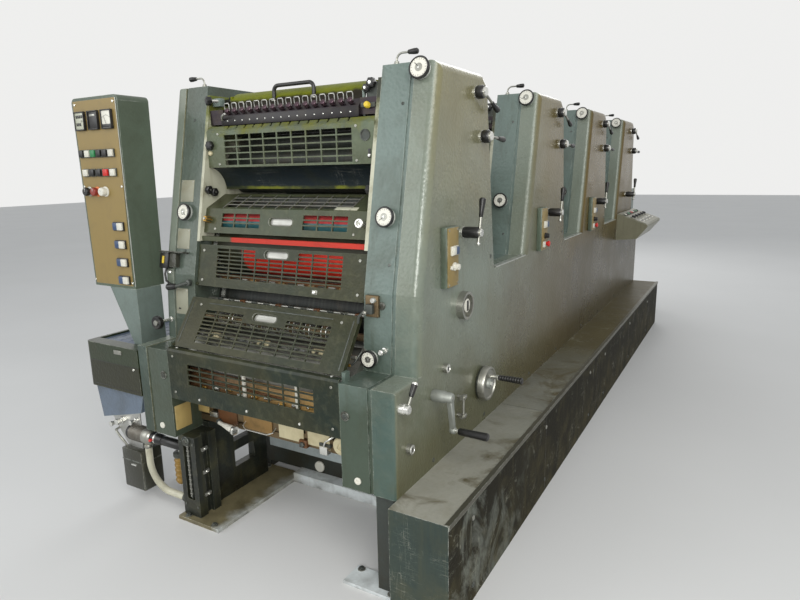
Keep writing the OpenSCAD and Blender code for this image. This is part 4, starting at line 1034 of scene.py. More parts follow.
class PRESS_OT_levers(Operator):
    """Makes the throw levers, the small levers, the crank, the handwheel and the front lever"""

    bl_idname = "press.levers"
    bl_label = "Add the levers"

    throw_hub = (0.076, 0.021)
    throw_tilt = math.radians(14)
    small_hub = (0.042, 0.024)

    def execute(self, context):
        sizes = context.scene.press_sizes
        for unit in range(UNITS):
            self.throw_lever(unit, sizes)
            self.small_lever(f"upper_lever_{unit + 1}", unit, UPPER_AT, math.radians(22), sizes)
            self.small_lever(f"lower_lever_{unit + 1}", unit, LOWER_AT, math.radians(3), sizes)
        self.crank()
        self.handwheel()
        self.front_lever(sizes)
        return {"FINISHED"}

    def throw_lever(self, unit, sizes):
        name = f"throw_lever_{unit + 1}"
        maker = Maker(name + "_dressed", name)
        at = Vector((COVER_X + SEAT, unit_y(unit) + THROW_AT[0], THROW_AT[1]))
        length, radius = self.throw_hub
        hub(maker, at, length, radius)
        way = Vector((0, math.sin(self.throw_tilt), math.cos(self.throw_tilt)))
        pivot = at + Vector((length - 0.012, 0, 0))
        rod = sizes.rod_radius
        maker.turned([(-0.038, 0), (-0.038, rod), (0.074, rod), (0.074, 0)], "steel", pivot, way, 14)
        maker.turned(mm((-46.5, 0), (-45.5, 5), (-41, 8.2), (-36.5, 7.5), (-34, 0)), "chrome", pivot, way,
                     16)
        tapered_grip(maker, pivot + way * 0.056, way, sizes.grip_length, 0.0075, 0.0122)
        maker.done(name)

    def small_lever(self, name, unit, place, down, sizes):
        maker = Maker(name + "_dressed", name)
        at = Vector((COVER_X + SEAT, unit_y(unit) + place[0], place[1]))
        length, radius = self.small_hub
        hub(maker, at, length, radius)
        way = Vector((0, math.cos(down), -math.sin(down)))
        pivot = at + Vector((length - 0.011, 0, 0))
        rod = sizes.rod_radius * 0.9
        maker.turned([(0.0, 0), (0.0, rod), (0.09, rod), (0.09, 0)], "steel", pivot, way, 14)
        tapered_grip(maker, pivot + way * 0.082, way, 0.068, 0.007, 0.011)
        maker.done(name)

    def crank(self):
        maker = Maker("crank_dressed", "crank")
        at = Vector((COVER_X + SEAT, unit_y(0) + CRANK_AT[0], CRANK_AT[1]))
        maker.turned(PIN, "steel", at, OUT, 16)
        maker.turned(mm((0, 19.5), (6, 21), (46, 21), (52, 18), (70, 18.5), (76.5, 15), (78, 0)), "cast", at,
                     OUT)
        maker.turned(mm((76, 8.5), (78.5, 6), (78.5, 0)), "steel", at, OUT, 16)
        turn = Matrix.Translation(at + Vector((0.056, 0, 0))) @ Matrix.Rotation(math.radians(10), 4, "X")
        arm = 0.128
        outline = [(-0.012, 0.002), (0.012, 0.002), (0.0085, -arm), (-0.0085, -arm)]
        sideways = Matrix.Rotation(math.radians(90), 4, "Z")
        maker.prism(outline, -0.0185, "cast", 0.0028, turn @ sideways)
        end = turn @ Vector((0, 0, -arm))
        maker.turned(mm((0, 0), (0, 11), (3, 13), (17, 13), (20, 11), (20, 0)), "cast", end, OUT)
        maker.turned(mm((19, 7.5), (34, 7.5)), "chrome", end, OUT, 16)
        maker.turned(mm((31, 9), (36, 12.5), (60, 12.8), (120, 14), (138, 13.8), (141.5, 10), (142, 0)),
                     "black", end, OUT)
        maker.done("crank")

    def handwheel(self):
        maker = Maker("handwheel_dressed", "handwheel")
        at = Vector((COVER_X + SEAT, unit_y(0) + WHEEL_AT[0], WHEEL_AT[1]))
        maker.turned(PIN, "steel", at, OUT, 16)
        maker.turned(mm((0, 58), (4, 66), (10, 68.5), (12, 69.5)), "dark_cast", at, OUT, 48)
        maker.turned(mm((10, 66), (12, 69.5), (34, 70), (39.5, 66.5), (40, 61), (36, 59.5), (33.5, 57.5),
                        (33.5, 0)), "steel", at, OUT, 48)
        maker.turned(mm((33, 23), (40, 20.5), (45.5, 19.5), (46, 11)), "cast", at, OUT)
        maker.turned(mm((44, 11.5), (50, 11.5), (52, 9), (52, 0)), "chrome", at, OUT, 6)
        grip = at + Vector((0.030, 0.044, 0.016))
        maker.turned(mm((2, 9.5), (24, 9.5), (26, 11), (30, 11)), "chrome", grip, OUT)
        ribs = [(0.029, 0.009)]
        for k in range(9):
            far = 0.032 + 0.011 * k
            wide = 0.0100 + 0.0003 * k
            ribs += [(far, wide), (far + 0.0025, wide + 0.0014), (far + 0.0075, wide + 0.0015),
                     (far + 0.0095, wide)]
        maker.turned(ribs + [(0.130, 0.0115), (0.132, 0.008), (0.132, 0)], "black", grip, OUT, 24)
        maker.done("handwheel")

    def front_lever(self, sizes):
        maker = Maker("front_lever_dressed", "front_lever")
        at = Vector((COVER_X + SEAT, unit_y(0) + FRONT_LEVER_AT[0], FRONT_LEVER_AT[1]))
        maker.turned(PIN, "steel", at, OUT, 16)
        maker.turned(mm((0, 18), (16, 18), (19, 15.5), (31, 15.5), (34, 12), (34, 0)), "chrome", at, OUT)
        tilt = math.radians(38)
        way = Vector((0, math.sin(tilt), math.cos(tilt)))
        pivot = at + Vector((0.024, 0, 0))
        rod = sizes.rod_radius * 0.9
        maker.turned([(0, 0), (0, rod), (0.052, rod), (0.052, 0)], "steel", pivot, way, 14)
        maker.turned(mm((42, 6), (46, 8), (70, 9.5), (83, 10.5)), "black", pivot, way)
        maker.turned(mm((83, 10.8), (89, 10.8), (92, 8), (92, 0)), "chrome", pivot, way)
        maker.done("front_lever")


class PRESS_OT_dials(Operator):
    """Makes the round position dials on the towers' fronts"""

    bl_idname = "press.dials"
    bl_label = "Add the dials"

    top = (0.561, TOWER_H - 0.028, 0.037)
    middle = (0.477, 1.253, 0.035)
    foot = (0.442, 0.781, 0.031)
    height = 0.026

    def execute(self, context):
        maker = Maker("position_dials")
        marks = context.scene.press_sizes.dial_marks
        for unit in range(UNITS):
            self.dial(maker, unit, self.top, marks, 0.8 + unit)
            self.dial(maker, unit, self.middle, marks, 2.2 + unit)
        x, z, radius = self.middle
        self.dial(maker, 0, (-x, z, radius), marks, 4.0)
        self.dial(maker, 0, self.foot, marks, 5.1)
        maker.done("dials")
        return {"FINISHED"}

    def dial(self, maker, unit, place, marks, pointer):
        """A steel body, a black ring and a white face with marks and a pointer."""
        x, z, r = place
        tilt = TOWER_TILT if z > NOTCH_Z else FOOT_TILT
        way = Vector((0, -math.cos(tilt), math.sin(tilt)))
        at = Vector((x, unit_y(unit) + front_at(z), z))
        h = self.height
        maker.turned([(-0.001, 0.0), (-0.001, r - 0.004), (0.003, r - 0.004), (0.005, r - 0.007),
                      (h - 0.012, r - 0.006), (h - 0.012, 0)], "cast", at, way, 40)
        maker.turned([(h - 0.0125, r - 0.008), (h - 0.012, r - 0.001), (h - 0.003, r), (h, r - 0.0025),
                      (h, r - 0.0055), (h - 0.003, r - 0.0065), (h - 0.0035, 0)], "black", at, way, 40)
        maker.turned([(h - 0.004, 0.0), (h - 0.004, r - 0.0063), (h - 0.0022, r - 0.0064), (h - 0.0022, 0)],
                     "white", at, way, 40)
        turn = Matrix.Translation(at) @ way.to_track_quat("Z", "Y").to_matrix().to_4x4()
        for k in range(marks):
            spin = turn @ Matrix.Rotation(math.tau * k / marks, 4, "Z")
            long = 0.0062 if k % 5 == 0 else 0.0035
            maker.box((-0.0005, r - 0.0078 - long, h - 0.0024), (0.0005, r - 0.0078, h - 0.0018), "black",
                      0.0001, spin)
        maker.turned([(h - 0.0022, r * 0.36), (h - 0.0012, r * 0.36), (h - 0.0012, r * 0.33),
                      (h - 0.0016, r * 0.32), (h - 0.0016, 0)], "steel", at, way, 24)
        hand = turn @ Matrix.Rotation(pointer, 4, "Z")
        maker.box((-0.0009, -0.002, h - 0.0016), (0.0009, r - 0.015, h - 0.0008), "black", 0.0002, hand)
        maker.turned([(h - 0.002, 0.0042), (h - 0.0002, 0.0036), (h, 0.002), (h, 0)], "chrome", at, way, 16)


# The ink ducts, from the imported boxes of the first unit's
DUCT_TOP = BOX["ink_ducts"][1].z
DUCT_FRONT = BOX["ink_ducts"][0].y - FRONT_Y
DUCT_HALF = 0.325
KEYS = 16
KEY_STEP = (2 * DUCT_HALF - 0.030) / KEYS
KEY_AT = (0.030, DUCT_TOP - 0.030)
KEY_TILT = math.radians(35)
LID_AXIS = (0.120, DUCT_TOP - 0.012)
LID_RADIUS = 0.082


def key_x(k):
    """X of an ink key, counted from 0."""
    return (k - (KEYS - 1) / 2) * KEY_STEP


def duct_end(unit, side):
    """Where a knob stands on one end of a unit's duct."""
    return (side * (DUCT_HALF + 0.006), unit_y(unit) + DUCT_FRONT + 0.100, DUCT_TOP + 0.038)


class PRESS_OT_ducts(Operator):
    """Adds the ink keys' wings, the duct bars, the end knobs, the bails and the bent levers"""

    bl_idname = "press.ducts"
    bl_label = "Add the ink ducts' parts"

    post = (0.452, 0.176)
    wing = (0.0125, 0.029)
    wing_lean = math.radians(8)

    def execute(self, context):
        self.keys()
        self.bar()
        self.bail()
        self.levers()
        return {"FINISHED"}

    def keys(self):
        """Knurled ink keys, and the bent wire wings that turn them."""
        heads = Maker("ink_keys_dressed")
        wings = Maker("ink_key_wings")
        way = Vector((0, -math.cos(KEY_TILT), math.sin(KEY_TILT)))
        up = Vector((0, -math.sin(self.wing_lean), math.cos(self.wing_lean)))
        for unit in range(UNITS):
            for k in range(KEYS):
                at = Vector((key_x(k), unit_y(unit) + DUCT_FRONT + KEY_AT[0], KEY_AT[1]))
                heads.turned(mm((-2, 4.8), (30, 4.8)), "key", at, way, 12)
                heads.turned(mm((29, 8.5), (30.5, 10.3), (44.5, 10.3), (46, 9), (46, 0)), "key_head", at,
                             way, 22, 11, 0.035)
                root = at + way * 0.038
                wide, high = self.wing
                wing = [root + Vector((dx, 0, 0)) + up * rise for dx, rise in (
                    (-0.0095, 0.0), (-wide * 0.92, high * 0.3), (-wide, high * 0.8), (-wide * 0.75, high),
                    (wide * 0.75, high), (wide, high * 0.8), (wide * 0.92, high * 0.3), (0.0095, 0.0))]
                wings.tube(wing, 0.0019, "wing", 7)
        heads.done("ink_keys")
        wings.done(slot="key_steel")

    def bar(self):
        """The dark bar under the keys with its row of studs, and the knobs and brackets at its ends."""
        maker = Maker("duct_bars")
        for unit in range(UNITS):
            y = unit_y(unit) + DUCT_FRONT
            low = (y - 0.0045, DUCT_TOP - 0.062)
            high = (y - 0.0035, DUCT_TOP - 0.026)
            maker.within = on_sheet(low, high)
            maker.box((-DUCT_HALF, -0.0005, 0.0), (DUCT_HALF, 0.004, 0.036), "duct_bar", 0.0012)
            for k in range(KEYS):
                maker.turned(mm((0, 3.2), (1.2, 3), (2, 1.8), (2, 0)), "chrome", (key_x(k), -0.0005, 0.017),
                             FACE, 10)
            maker.within = Matrix.Identity(4)
            for side in (-1, 1):
                end = duct_end(unit, side)
                maker.turned(mm((0, 13), (10, 13), (12, 18), (18, 20), (34, 20), (40, 16), (41, 0)), "black",
                             end, (side, 0, 0), 30, 5, 0.10)
                maker.turned(mm((40, 7), (64.5, 7)), "steel", end, (side, 0, 0), 12)
                maker.turned(head(10, 14, 18, 6), "steel", (end[0], y + 0.055, DUCT_TOP - 0.004),
                             (side, 0, 0), 16)
            maker.turned(head(11, 12, 16, 8), "yellow", (DUCT_HALF + 0.034, y + 0.004, DUCT_TOP - 0.028),
                         (0, -1, 0.25), 20)
            maker.box((DUCT_HALF + 0.004, y + 0.002, DUCT_TOP - 0.034),
                      (DUCT_HALF + 0.062, y + 0.012, DUCT_TOP - 0.018), "dark_cast", 0.002)
            maker.box((DUCT_HALF + 0.004, y + 0.014, DUCT_TOP - 0.060),
                      (DUCT_HALF + 0.014, y + 0.022, DUCT_TOP + 0.026), "pale_enamel", 0.002)
            maker.box((DUCT_HALF + 0.016, y + 0.022, DUCT_TOP - 0.050),
                      (DUCT_HALF + 0.062, y + 0.030, DUCT_TOP + 0.050), "dark_cast", 0.003)
            for dx, dz, size in ((0.026, 0.030, 0.013), (0.046, 0.046, 0.016)):
                maker.turned([(0, size * 0.8), (0.006, size), (0.020, size), (0.024, size * 0.7),
                              (0.024, 0)], "black", (DUCT_HALF + dx, y + 0.022, DUCT_TOP + dz), FACE, 26, 6,
                             0.08)
                maker.turned([(0.023, size * 0.4), (0.026, size * 0.34), (0.026, 0)], "chrome",
                             (DUCT_HALF + dx, y + 0.022, DUCT_TOP + dz), FACE, 14)
            lever = Vector((-DUCT_HALF + 0.008, y - 0.006, DUCT_TOP - 0.040))
            maker.tube([lever, lever + Vector((0.012, -0.014, 0.012)),
                        lever + Vector((0.034, -0.020, 0.020))], 0.0042, "chrome", 8)
        maker.done(slot="duct_metal")

    def bail(self):
        """Black bent rod over the first lid's bail."""
        maker = Maker("lid_bail_sleeve")
        y = unit_y(0) + DUCT_FRONT + 0.052
        low = LID_AXIS[1] + math.sqrt(LID_RADIUS ** 2 - (0.045 - LID_AXIS[0]) ** 2)
        top = low + 0.055
        half, corner = 0.095, 0.021
        path = [Vector((-half, y, low + 0.002))]
        path += arc((corner - half, y, top - corner), corner, 180, 90, 6)
        path += arc((half - corner, y, top - corner), corner, 90, 0, 6)
        path.append(Vector((half, y, low + 0.002)))
        maker.tube(path, 0.0074, "black", 14)
        for side in (-1, 1):
            maker.turned(mm((0, 13), (3, 13), (4, 9)), "steel", (side * half, y, low - 0.001), UP, 18)
        maker.done(slot="black_grip")

    def levers(self):
        """Bent levers on the towers' tops, and the rods of the knobs at the ducts' ends."""
        maker = Maker("bent_levers")
        rise, reach, bend = 0.036, 0.044, 0.022
        for unit in range(UNITS):
            for side in (-1, 1):
                foot = Vector((side * self.post[0], unit_y(unit) + self.post[1], TOWER_H))
                maker.turned(mm((0, 10.5), (4, 10.5), (6, 8.5), (10, 8.5), (12, 5.5)), "steel", foot, UP, 18)
                middle = foot + Vector((side * bend, 0, rise - bend))
                end = foot + Vector((side * (reach + 0.004), 0, rise))
                rod = [foot, *arc(middle, bend, 90 + 90 * side, 90, 6), end]
                maker.tube(rod, 0.0036, "steel", 10)
                maker.turned(mm((0, 5.5), (2, 7.2), (24, 9.8), (34, 9.5), (37.5, 6), (38, 0)), "black",
                             foot + Vector((side * reach, 0, rise)), (side, 0, 0), 20)
                maker.turned(mm((0, 13.5), (30, 14), (64.5, 13.5)), "black", duct_end(unit, side),
                             (side, 0, 0), 20)
        maker.done("duct_levers")


# First tower's guards: the foot and top of each sheet as (y, z), its outer face through both
UPPER_SHEET = ((FRONT_Y + front_at(1.430) + 0.024, 1.430), (FRONT_Y + front_at(1.570) - 0.005, 1.570))
MIDDLE_SHEET = ((FRONT_Y + front_at(1.175) + 0.020, 1.175), (FRONT_Y + front_at(1.270) + 0.025, 1.270))
SHELF_SHEET = (MIDDLE_SHEET[1], (FRONT_Y + front_at(1.322) + 0.120, 1.322))
PLATE_SHEET = ((FRONT_Y + front_at(0.972) + 0.010, 0.972), (FRONT_Y + front_at(1.128) + 0.015, 1.128))
LOWER_SHEET = ((CHEEK_Y + 0.033, LEDGE_Z + 0.018), (FRONT_Y - FOOT_OUT, 0.922))
CUP_HALF = 0.043
CUP_RADIUS = 0.017


class PRESS_OT_guards(Operator):
    """Adds the finger cups' bright linings, the guards' knobs, clamps, stays and edge strips"""

    bl_idname = "press.guards"
    bl_label = "Add the guards' parts"

    def execute(self, context):
        self.cup("middle_cup", BODY, MIDDLE_SHEET, 0.052, 0.001)
        self.cup("plate_cup", "plate_guard", PLATE_SHEET, 0.135, -0.0015)
        self.cup("lower_cup", "lower_guard", LOWER_SHEET, 0.154, -0.0015)
        self.upper()
        self.middle()
        self.plate()
        self.lower()
        return {"FINISHED"}

    def cup(self, name, body, sheet, z, depth):
        """A bright pressed lining with a rolled rim, in the middle of a sheet at height z."""
        maker = Maker(name, body, on_sheet(*sheet))
        steps = 28
        part = bmesh.new()
        rings = []
        for far, grow in ((-0.0005, 0.0008), (-0.0015, 0.0002), (0.001, -0.0014), (0.0060, -0.0026),
                          (0.0080, -0.0050), (0.0086, -0.0095)):
            ring = []
            for k in range(steps):
                a = math.tau * (k + 0.5) / steps
                side = CUP_HALF if math.cos(a) > 0 else -CUP_HALF
                wide = CUP_RADIUS + grow
                ring.append(part.verts.new((side + wide * math.cos(a), depth + far, z + wide * math.sin(a))))
            rings.append(ring)
        rings.append([part.verts.new((0, depth + 0.0088, z))])
        for first, second in zip(rings, rings[1:]):
            maker.bridge(part, first, second, steps)
        maker.keep(part, "cup")
        maker.done(slot="key_steel")

    def upper(self):
        maker = Maker("upper_guard_parts", within=on_sheet(*UPPER_SHEET))
        maker.turned(mm((-6, 16), (3, 16.5), (4, 19.5), (0, 19.8)), "dark_cast", (INNER_X - 0.036, 0, 0.096),
                     FACE, 24)
        maker.box((INNER_X - 0.040, 0.004, 0.076), (INNER_X - 0.030, 0.012, 0.116), "steel", 0.001)
        maker.box((INNER_X - 0.026, -0.0015, 0.020), (INNER_X - 0.016, 0.001, 0.050), "black", 0.0006)
        maker.turned(head(6, 4, 6, 4), "chrome", (INNER_X - 0.021, 0, 0.028), FACE, 14)
        maker.turned(mm((0, 15), (6, 17), (16, 17), (20, 12), (20, 0)), "black",
                     (-INNER_X + 0.022, 0, 0.086), FACE, 28, 6, 0.09)
        maker.turned(head(9, 6, 9, 6), "cream", (-INNER_X + 0.016, 0, 0.056), FACE, 16)
        for x in (-0.334, 0.322):
            for z in (0.012, 0.128):
                maker.screw((x, 0, z), FACE, 0.0048)
        maker.done(slot="guard_paint")

    def middle(self):
        maker = Maker("middle_guard_parts", within=on_sheet(*MIDDLE_SHEET))
        z = 0.052
        left, right = -INNER_X + 0.026, INNER_X - 0.026
        maker.turned(mm((0, 14.5), (22, 14.5), (26, 11), (27.5, 11), (27.5, 0)), "brass", (left, 0, z), FACE,
                     6)
        maker.turned(mm((27.5, 6), (32, 5), (32, 0)), "steel", (left, 0, z), FACE, 12)
        maker.turned(mm((0, 13.5), (23, 13.5), (25, 16.5), (31, 16.5), (33, 14.5), (33, 10.5), (27, 9.5),
                        (27, 0)), "chrome", (right, 0, z), FACE, 32)
        maker.turned(mm((27, 4), (34, 4), (34, 0)), "steel", (right, 0, z), FACE, 12)
        for x in (-0.334, 0.334):
            maker.screw((x, 0, 0.016), FACE, 0.0048)
        maker.within = on_sheet(*SHELF_SHEET)
        for k in range(10):
            x = (k - 4.5) * 0.068
            maker.tube([(x, -0.001, 0.004), (x, -0.001, 0.106)], 0.0024, "steel", 6)
        for z in (0.030, 0.056, 0.082):
            maker.tube([(-0.308, -0.0015, z), (0.308, -0.0015, z)], 0.0022, "steel", 6)
        maker.box((0.24, -0.003, 0.004), (0.335, 0.0, 0.022), "side_plate", 0.001)
        maker.done(slot="guard_paint")
        maker = Maker("side_plate_knobs")
        for side in (-1, 1):
            for dy, z in ((0.020, 1.343), (0.050, 1.333)):
                at = (side * (INNER_X - 0.0002), FRONT_Y + front_at(z) + dy, z)
                maker.turned(mm((0, 12), (4, 12), (6, 16), (18, 16.5), (21, 13), (21, 0)), "black", at,
                             (-side, 0, 0), 24, 6, 0.06)
                maker.turned(mm((20.5, 4), (23, 3.5), (23, 0)), "steel", at, (-side, 0, 0), 12)
        maker.done(slot="black_grip")

    def plate(self):
        """The plate guard's own screws, and its catch and its clamp on the side frames."""
        maker = Maker("plate_guard_parts", "plate_guard", on_sheet(*PLATE_SHEET))
        for x in (-0.376, 0.376):
            for z in (0.018, 0.136):
                maker.screw((x, -0.0025, z), FACE, 0.0055)
        maker.box((0.180, -0.0045, 0.004), (0.205, -0.0025, 0.020), "steel", 0.001)
        maker.turned(head(6.5, 6, 8, 4), "chrome", (0.192, -0.004, 0.012), FACE, 14)
        maker.done(slot="guard_paint")
        maker = Maker("guard_catches")
        y = FRONT_Y + front_at(0.95)
        x = 0.452
        maker.box((x - 0.030, y - 0.012, 0.925), (x + 0.022, y + 0.002, 1.000), "delivery", 0.004)
        maker.box((x - 0.022, y - 0.030, 0.938), (x + 0.008, y - 0.010, 0.972), "dark_cast", 0.005)
        maker.turned(head(10, 10, 14, 7), "chrome", (x + 0.006, y - 0.012, 0.985), FACE, 18)
        maker.turned(head(7, 10, 13, 4), "steel", (x - 0.018, y - 0.028, 0.944), FACE, 14)
        maker.tube([(x - 0.020, y - 0.030, 0.950), (x - 0.040, y - 0.036, 0.930),
                    (x - 0.046, y - 0.034, 0.905)], 0.005, "dark_cast", 8)
        x = -0.452
        maker.turned(head(13, 14, 17, 9), "dark_cast", (x + 0.016, y, 0.975), FACE, 20)
        maker.tube([(x + 0.016, y - 0.014, 0.975), (x - 0.006, y - 0.026, 0.968),
                    (x - 0.034, y - 0.032, 0.960), (x - 0.058, y - 0.034, 0.956),
                    (x - 0.078, y - 0.034, 0.953)], 0.0075, "dark_cast", 12)
        maker.turned(mm((0, 8), (10, 12.5), (46, 13.5), (52, 9), (52, 0)), "black",
                     (x - 0.030, y - 0.032, 0.961), (-1, -0.05, -0.12), 18)
        maker.done(slot="cast_metal")

    def lower(self):
        maker = Maker("lower_guard_parts", "lower_guard", on_sheet(*LOWER_SHEET))
        for x in (-0.386, 0.386):
            maker.box((x - 0.002, -0.0035, 0.010), (x + 0.002, -0.0022, 0.188), "dark_cast", 0.0005)
        maker.box((-0.300, -0.0035, 0.183), (0.300, -0.0022, 0.187), "dark_cast", 0.0005)
        for x in (-0.340, 0.340):
            maker.screw((x, -0.0025, 0.176), FACE, 0.0055)
        maker.done(slot="guard_paint")


class PRESS_OT_hose(Operator):
    """Makes the ribbed drain hose between the pump and the lift column"""

    bl_idname = "press.hose"
    bl_label = "Add the drain hose"

    outlet = HOSE_OUTLET
    low_end = HOSE_END
    bend = 0.120
    diameter = 0.030

    def execute(self, context):
        route = self.route(9)
        fine = self.route(64)
        maker = Maker("drain_hose_ribbed")
        maker.tube(fine, self.diameter / 2 - 0.0016, "hose", 18, 0.0016)
        hose = maker.done("drain_hose")
        return {"FINISHED"}

    def route(self, steps):
        """Down from the outlet, round one bend and level into the column."""
        x, y, top = self.outlet
        low = self.low_end[2] + self.bend
        points = [Vector((x, y, top - (top - low) * k / steps)) for k in range(steps)]
        points += arc((x + self.bend, y, low), self.bend, 180, 270, 2 * steps)
        start = x + self.bend
        points += [Vector((start + (self.low_end[0] - start) * k / steps, y,
                           self.low_end[2])) for k in range(1, steps + 1)]
        return points


class PRESS_OT_console(Operator):
    """Makes the console's meters, buttons, knobs and rockers"""

    bl_idname = "press.console"
    bl_label = "Add the console's controls"

    corner = (BOX["console_box"][0].x, BOX["console_panel"][0].y, BOX["console_box"][1].z)
    meters = ("meter", "black", "white")
    first_row = ("black", "white_cap", "green_button", "black", "black", "white_cap")
    second_row = ("white_cap", "black", "black", "red_button", "white_cap")
    knobs = (("black", "steel"), ("red_knob", "orange"), ("white_cap", "white_cap"))

    def execute(self, context):
        maker = Maker("console_controls_dressed", within=Matrix.Translation(self.corner))
        for k, face in enumerate(self.meters):
            self.meter(maker, 0.024 + 0.086 * k, -0.128, face, k)
        for k, cap in enumerate(self.first_row):
            self.button(maker, 0.026 + 0.038 * k, -0.236, 0.032, cap)
        for k, cap in enumerate(self.second_row):
            self.button(maker, 0.038 + 0.044 * k, -0.312, 0.034, cap)
        for k, (cap, ring) in enumerate(self.knobs):
            self.knob(maker, 0.058 + 0.052 * k, -0.372, cap, ring)
        for k in range(4):
            self.rocker(maker, 0.190, -0.530 - 0.074 * k)
        maker.done("console_controls")
        self.trim()
        return {"FINISHED"}

    def meter(self, maker, x, z, face, kind):
        """A black frame round a face: counter windows, a blank dark one, or a needle over a scale."""
        wide, high = 0.064, 0.074
        maker.box((x, -0.008, z), (x + wide, 0, z + high), "black", 0.0012)
        for low, top in (((x, z), (x + 0.005, z + high)), ((x + wide - 0.005, z), (x + wide, z + high)),
                         ((x, z), (x + wide, z + 0.005)), ((x, z + high - 0.005), (x + wide, z + high))):
            maker.box((low[0], -0.012, low[1]), (top[0], -0.007, top[1]), "black", 0.0014)
        maker.box((x + 0.005, -0.0088, z + 0.005), (x + wide - 0.005, -0.0075, z + high - 0.005), face,
                  0.0004)
        if kind == 0:
            for row, count in ((0.048, 4), (0.018, 3)):
                for k in range(count):
                    left = x + 0.011 + 0.0112 * k
                    maker.box((left, -0.0096, z + row), (left + 0.009, -0.0085, z + row + 0.012), "black",
                              0.0004)
            maker.turned(head(4, 2, 3, 2.5), "steel", (x + 0.047, -0.0088, z + 0.037), FACE, 14)
        elif kind == 1:
            maker.box((x + 0.014, -0.0094, z + 0.052), (x + 0.048, -0.0085, z + 0.060), "steel", 0.0004)
        else:
            for k in range(11):
                turn = (Matrix.Translation((x + wide / 2, -0.0090, z + 0.016))
                        @ Matrix.Rotation(math.radians(40 - 8 * k), 4, "Y"))
                maker.box((-0.0004, -0.0003, 0.034), (0.0004, 0.0003, 0.038 if k % 5 else 0.040), "black",
                          0.0001, turn)
            needle = (Matrix.Translation((x + wide / 2, -0.0096, z + 0.016))
                      @ Matrix.Rotation(math.radians(-22), 4, "Y"))
            maker.box((-0.0006, -0.0003, 0.0), (0.0006, 0.0003, 0.034), "black", 0.0001, needle)
            maker.box((x + 0.006, -0.0105, z + 0.006), (x + wide - 0.006, -0.0085, z + 0.018), "black",
                      0.0006)

    def button(self, maker, x, z, wide, cap):
        maker.box((x, -0.0055, z), (x + wide, 0, z + 0.032), "dark_cast", 0.0012)
        maker.box((x + 0.0025, -0.0140, z + 0.0025), (x + wide - 0.0025, -0.005, z + 0.0295), cap, 0.0024)

    def knob(self, maker, x, z, cap, ring):
        at = (x, 0, z)
        maker.turned(head(20.5, 2.5, 4, 18), ring, at, FACE, 32)
        maker.turned(mm((3, 13), (9, 13), (11, 16.5), (22, 17.2), (25.5, 15), (26, 6), (25.5, 0)), cap, at,
                     FACE, 36, 12, 0.03)
        maker.box((x - 0.0012, -0.0262, z), (x + 0.0012, -0.0245, z + 0.014), "chrome", 0.0004)

    def rocker(self, maker, x, z):
        maker.box((x, -0.006, z), (x + 0.066, 0, z + 0.036), "black", 0.0014)
        maker.box((x + 0.003, -0.0125, z + 0.003), (x + 0.032, -0.005, z + 0.033), "blue", 0.0028)
        maker.box((x + 0.033, -0.0160, z + 0.003), (x + 0.063, -0.005, z + 0.033), "white_cap", 0.0034)

    def trim(self):
        """Screws of the two panels and the bright bead beside them."""
        maker = Maker("console_trim", within=Matrix.Translation(self.corner))
        for x, z in ((0.024, -0.026), (0.268, -0.026), (0.024, -0.352), (0.268, -0.352),
                     (0.024, -0.744), (0.268, -0.744)):
            maker.screw((x, 0, z), FACE, 0.0052, "chrome")
        low, high = BOX["console_panel"]
        maker.within = Matrix.Identity(4)
        maker.tube([(high.x + 0.0005, low.y + 0.0012, low.z), (high.x + 0.0005, low.y + 0.0012, high.z)],
                   0.0016, "trim", 8)
        maker.done(slot="fitting_steel")


class PRESS_OT_pods(Operator):
    """Makes the switch pods on the operator's side"""

    bl_idname = "press.pods"
    bl_label = "Add the switch pods"

    start = BOX["switch_pods"][0]
    width = 0.092
    height = BOX["switch_pods"][1].z - BOX["switch_pods"][0].z
    out = 0.027

    def execute(self, context):
        maker = Maker("switch_pods_dressed")
        for unit in range(UNITS - 1):
            maker.within = Matrix.Translation((COVER_X, self.start.y + unit * PITCH, self.start.z))
            self.pod(maker, unit)
        maker.done("switch_pods")
        return {"FINISHED"}

    def pod(self, maker, unit):
        """A raised box with a beige plate, a white switch, its knob, and a red push button on two."""
        out = self.out
        maker.box((0, 0, 0), (out - 0.003, self.width, self.height), "console", 0.004)
        maker.box((out - 0.004, 0.006, 0.004), (out, self.width - 0.003, self.height - 0.004), "beige",
                  0.001)
        for y in (0.014, self.width - 0.011):
            for z in (0.012, self.height - 0.012):
                maker.screw((out, y, z), OUT, 0.0036)
        self.block(maker, 0.024, 0.112, "blue")
        maker.turned(mm((0, 14.5), (6, 14.5), (8, 11.5), (21, 10.5), (22, 8), (22, 0)),
                     "white_cap" if unit == 0 else "black", (out, 0.052, 0.072), OUT, 28, 8, 0.04)
        if unit:
            maker.box((out, 0.016, 0.018), (out + 0.008, 0.044, 0.046), "white_cap", 0.0015)
            maker.turned(mm((0, 9), (10, 9), (12, 14.5), (18, 14.5), (21.5, 10), (22, 0)), "red_button",
                         (out, 0.066, 0.032), OUT, 28)
        else:
            maker.turned(head(7.5, 5, 7, 5), "white_cap", (out, 0.030, 0.070), OUT, 20)

    def block(self, maker, y, z, side):
        out = self.out
        maker.box((out, y, z), (out + 0.0075, y + 0.050, z + 0.032), "white_cap", 0.0012)
        maker.box((out + 0.006, y + 0.003, z + 0.003), (out + 0.0125, y + 0.026, z + 0.029), "white_cap",
                  0.002)
        maker.box((out + 0.006, y + 0.027, z + 0.003), (out + 0.014, y + 0.047, z + 0.029), side, 0.002)


def front_sheet(low, high, unit=0):
    """Frame of a patch on a tower's front between two heights, with -y out of it."""
    y = unit_y(unit)
    return on_sheet((y + front_at(low), low), (y + front_at(high), high))


